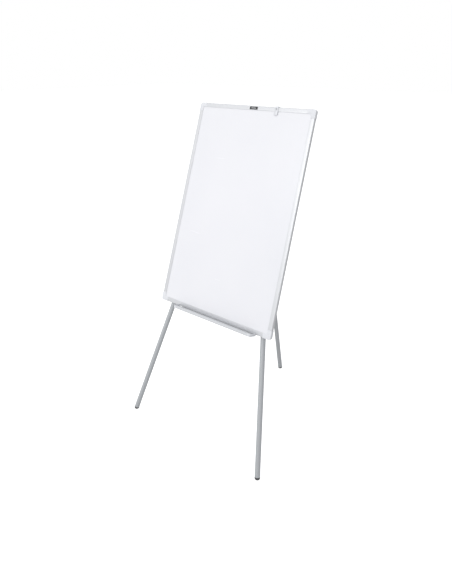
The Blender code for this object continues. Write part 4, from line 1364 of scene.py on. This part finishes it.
def buildFoot(leg):
    # ball-ended plug, cut flat where it stands, with a pressed-in tread
    place = legFrames[leg]
    shape = footShape
    node = f"{leg}_foot"
    low, high = spanIn(place, node)
    radius = max(high.x, -low.x)
    rim = high.z - shape["stem"]
    centre = rim - shape["rim"]
    stem = lowerRadius - tubeShape["wall"] - clearance
    profile = [(0, centre - radius)]
    for degrees in range(10, 84, 6):
        angle = math.radians(degrees)
        profile.append((radius * math.sin(angle), centre - radius * math.cos(angle)))
    groove, half = shape["grooveDepth"], shape["grooveHalf"]
    fine, taper = shape["rimRound"], shape["stemTaper"]
    profile += [(radius, centre - 2 * half), (radius - groove, centre - half), (radius, centre),
                (radius, rim - fine), (radius - fine, rim), (stem, rim), (stem, high.z - taper),
                (stem - taper, high.z), (0, high.z)]
    bm = turnedOf(profile, 64)
    bmesh.ops.recalc_face_normals(bm, faces=bm.faces)
    toLeg = place.inverted()
    floorPoint = toLeg @ Vector((0, 0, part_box(node)[0].z))
    floorNormal = toLeg.to_3x3() @ Vector((0, 0, 1))
    cut = bmesh.ops.bisect_plane(bm, geom=bm.verts[:] + bm.edges[:] + bm.faces[:],
                                 plane_co=floorPoint, plane_no=floorNormal, clear_inner=True)
    rimEdges = [item for item in cut["geom_cut"] if isinstance(item, bmesh.types.BMEdge)]
    sole = bmesh.ops.contextual_create(bm, geom=rimEdges)["faces"]
    bmesh.ops.inset_region(bm, faces=sole, thickness=shape["treadInset"], depth=0)
    bmesh.ops.inset_region(bm, faces=sole, thickness=shape["treadSlope"], depth=-shape["treadDepth"])
    foot = newPiece(f"{leg}_rubber_foot", bm)
    fitPiece(foot, place, f"{leg}_extension", footRubber, "foot_rubber", node, upright=True)


def buildLegs():
    for leg in legNames:
        buildTubes(leg)
        buildTopPlug(leg)
        buildClampCollar(leg)
        buildClampKnob(leg)
        buildFoot(leg)
        dressNode(f"{leg}_glide_bush", nylon)


hookShape = {
    "wall": 0.0022,
    "tabRound": 0.008,
    "crownRound": 0.0012,
    "backDrop": 0.013,
    "jawWall": 0.0042,
    "peg": 0.003,
    "pegFlare": 0.0014,
    "pegDrop": 0.010,
    "edgeRound": 0.00035,
    "screwDrop": 0.0055,
    "screwShank": 0.002,
    "screwTaper": 0.0004,
    "flutes": 28,
    "fluteDepth": 0.0004,
    "crestRound": 0.0006,
    "pegHead": 0.0006,
    "pegFoot": 0.0018,
    "pegRound": 0.0012,
    # how far the thumb screw's edge draws in, how far from that face, and the share of the flutes
    "underEdge": ((0.0008, 0.0, 0.3), (0.0, 0.0007, 1.0)),
    "topEdge": ((0.0, 0.0012, 1.0), (0.0007, 0.0003, 0.6), (0.0016, 0.0, 0.0)),
}


def buildPaperHook():
    # moulded clip over the top rail: a front tab with its peg, a bridge and a jaw behind
    shape = hookShape
    low, high = spanIn(board, "paper_hook")
    middle, half = (low.x + high.x) / 2, (high.x - low.x) / 2
    face, front = -clearance, -clearance - shape["wall"]
    jaw, back = high.y - shape["jawWall"], high.y
    crown, under = high.z, boardHeight + clearance
    jawEnd = boardHeight - shape["backDrop"]
    side = roundedPath([
        (front, low.z, shape["crestRound"]), (front, crown, shape["crownRound"]),
        (back, crown, shape["crownRound"]), (back, jawEnd, 0.0008), (jaw, jawEnd, 0.0005),
        (jaw, under, 0.0003), (face, under, 0.0003), (face, low.z, 0.0004),
    ], steps=5)
    hook = newPiece("hook_clip", prismOf([side], "X", -half, half))
    past = overcut / 2
    tab = roundedPath([(-half, low.z, shape["tabRound"]), (half, low.z, shape["tabRound"]),
                       (half, crown + past), (-half, crown + past)], 10)
    carve(hook, "INTERSECT", prismOf([tab], "Y", front - past, back + past))
    soften(hook, shape["edgeRound"], 2)

    peg, flare, pegHead = shape["peg"], shape["pegFlare"], shape["pegHead"]
    level, reach = boardHeight - shape["pegDrop"], front - low.y
    profile = roundedPath([
        (0, -0.0008), (peg + flare, -0.0008), (peg + flare, 0.0002),
        (peg, shape["pegFoot"], shape["pegRound"]), (peg, reach - 0.0022, 0.001), (peg + pegHead, reach - 0.0015, 0.0006),
        (peg + pegHead, reach, 0.0011), (0, reach),
    ], 5, closed=False)
    seat = Matrix.Translation((0, front, level)) @ zToBack @ flipped
    carve(hook, "UNION", turnedOf(profile, 40, seat))
    shank, screwLevel = shape["screwShank"], boardHeight - shape["screwDrop"]
    drill(hook, [((0, jaw - overcut, screwLevel), (0, back + overcut, screwLevel), shank + clearance)])
    place = board @ Matrix.Translation((middle, 0, 0))
    fitPiece(hook, place, "hook", hookPlastic, "hook_plastic", "paper_hook", upright=True)

    low, high = spanIn(board, "hook_screw")
    radius, length = (high.x - low.x) / 2, high.y - low.y
    head = length - (high.y - back) + clearance
    flutes, deep = shape["flutes"], shape["fluteDepth"]
    rings = [lobedRing(radius - inset, head + rise, flutes, deep * share, 4)
             for inset, rise, share in shape["underEdge"]]
    rings += [lobedRing(radius - inset, length - drop, flutes, deep * share, 4)
              for inset, drop, share in shape["topEdge"]]
    rings += [lobedRing(radius * 0.5, length, flutes, 0, 4),
              lobedRing(radius * 0.42, length - 0.0005, flutes, 0, 4)]
    screw = newPiece("hook_thumb_screw", loftOf(rings))
    inside = head + past
    profile = [(0, 0), (shank - shape["screwTaper"], 0), (shank, 0.0005), (shank, inside), (0, inside)]
    carve(screw, "UNION", turnedOf(profile, 32))
    seat = board @ Matrix.Translation((middle, low.y, screwLevel)) @ zToBack
    fitPiece(screw, seat, "hook_clamp", blackPlastic, "black_plastic", "hook_screw")


buildRails()
buildCorners()
dressPanel()
buildBadge()
print("board framed")
buildTray()
buildTrayCaps()
buildScrews()
print("pen tray and screws fitted")
buildHeadBracket()
buildPivots()
buildLegCatches()
print("brackets and pivots fitted")
buildLegs()
buildPaperHook()
print("legs and hook fitted")


cameraView = {
    "location": (1.4771, -1.9816, 1.7905),
    "yaw": 38.55,
    "pitch": 14.81,
    "lens": 31.95,
    "sensor": 36.0,
    "shiftY": -0.1585,
    "clipEnd": 200.0,
}


def placeCamera():
    view = cameraView
    camera = bpy.data.objects.new("camera", bpy.data.cameras.new("camera"))
    bpy.context.scene.collection.objects.link(camera)
    camera.location = view["location"]
    camera.rotation_euler = (math.radians(90 - view["pitch"]), 0, math.radians(view["yaw"]))
    camera.data.sensor_width = view["sensor"]
    camera.data.lens = view["lens"]
    camera.data.shift_y = view["shiftY"]
    camera.data.clip_end = view["clipEnd"]
    bpy.context.scene.camera = camera


studio = {
    "floorSize": 60.0,
    "sky": 0.80,                       # brightness seen by the easel
    "skyRise": 0.12,                   # more of it overhead
    "skySide": -0.18,                  # less of it on the right
    "skyBack": -0.26,                  # and less of it behind
    "tint": (1.0, 1.005, 1.015),
    "lamps": {
        "keyLamp": {"from": (-0.5, -3.9, 3.0), "size": 2.8, "power": 48.0},
        "backLamp": {"from": (-1.6, 3.8, 2.6), "size": 2.6, "power": 26.0},
    },
    "aim": (0.0, 0.0, 1.1),
}


def lightStudio():
    bm = bmesh.new()
    bmesh.ops.create_grid(bm, x_segments=8, y_segments=8, size=studio["floorSize"] / 2)
    floor = newPiece("studioFloor", bm)
    floor.data.materials.append(makeFloorPaint())
    for name, lamp in studio["lamps"].items():
        light = bpy.data.lights.new(name, "AREA")
        light.shape = "DISK"
        light.size = lamp["size"]
        light.energy = lamp["power"]
        holder = bpy.data.objects.new(name, light)
        bpy.context.scene.collection.objects.link(holder)
        holder.location = lamp["from"]
        toAim = Vector(studio["aim"]) - Vector(lamp["from"])
        holder.rotation_euler = toAim.to_track_quat("-Z", "Y").to_euler()


def fillSky():
    # soft surround for light, plain white where it shows behind the easel
    world = bpy.data.worlds.new("studioSky")
    bpy.context.scene.world = world
    sky = Nodes(world)
    direction = sky.node("ShaderNodeTexCoord", output="Generated")
    brightness = studio["sky"]
    for axis, change in (("Z", "skyRise"), ("X", "skySide"), ("Y", "skyBack")):
        along = sky.node("ShaderNodeSeparateXYZ", None, {0: direction}, output=axis)
        brightness = brightness + along * studio[change]
    surround = sky.node("ShaderNodeBackground", None,
                        {"Color": opaque(studio["tint"]), "Strength": brightness})
    backdrop = sky.node("ShaderNodeBackground", None, {"Color": (1.0, 1.0, 1.0, 1.0)})
    seen = sky.node("ShaderNodeLightPath", output="Is Camera Ray")
    mix = sky.node("ShaderNodeMixShader", None, {0: seen, 1: surround, 2: backdrop})
    sky.tree.links.new(mix.socket, sky.tree.nodes["World Output"].inputs["Surface"])
    bpy.context.scene.view_settings.view_transform = "Standard"


placeCamera()
lightStudio()
fillSky()
print("studio and camera set")
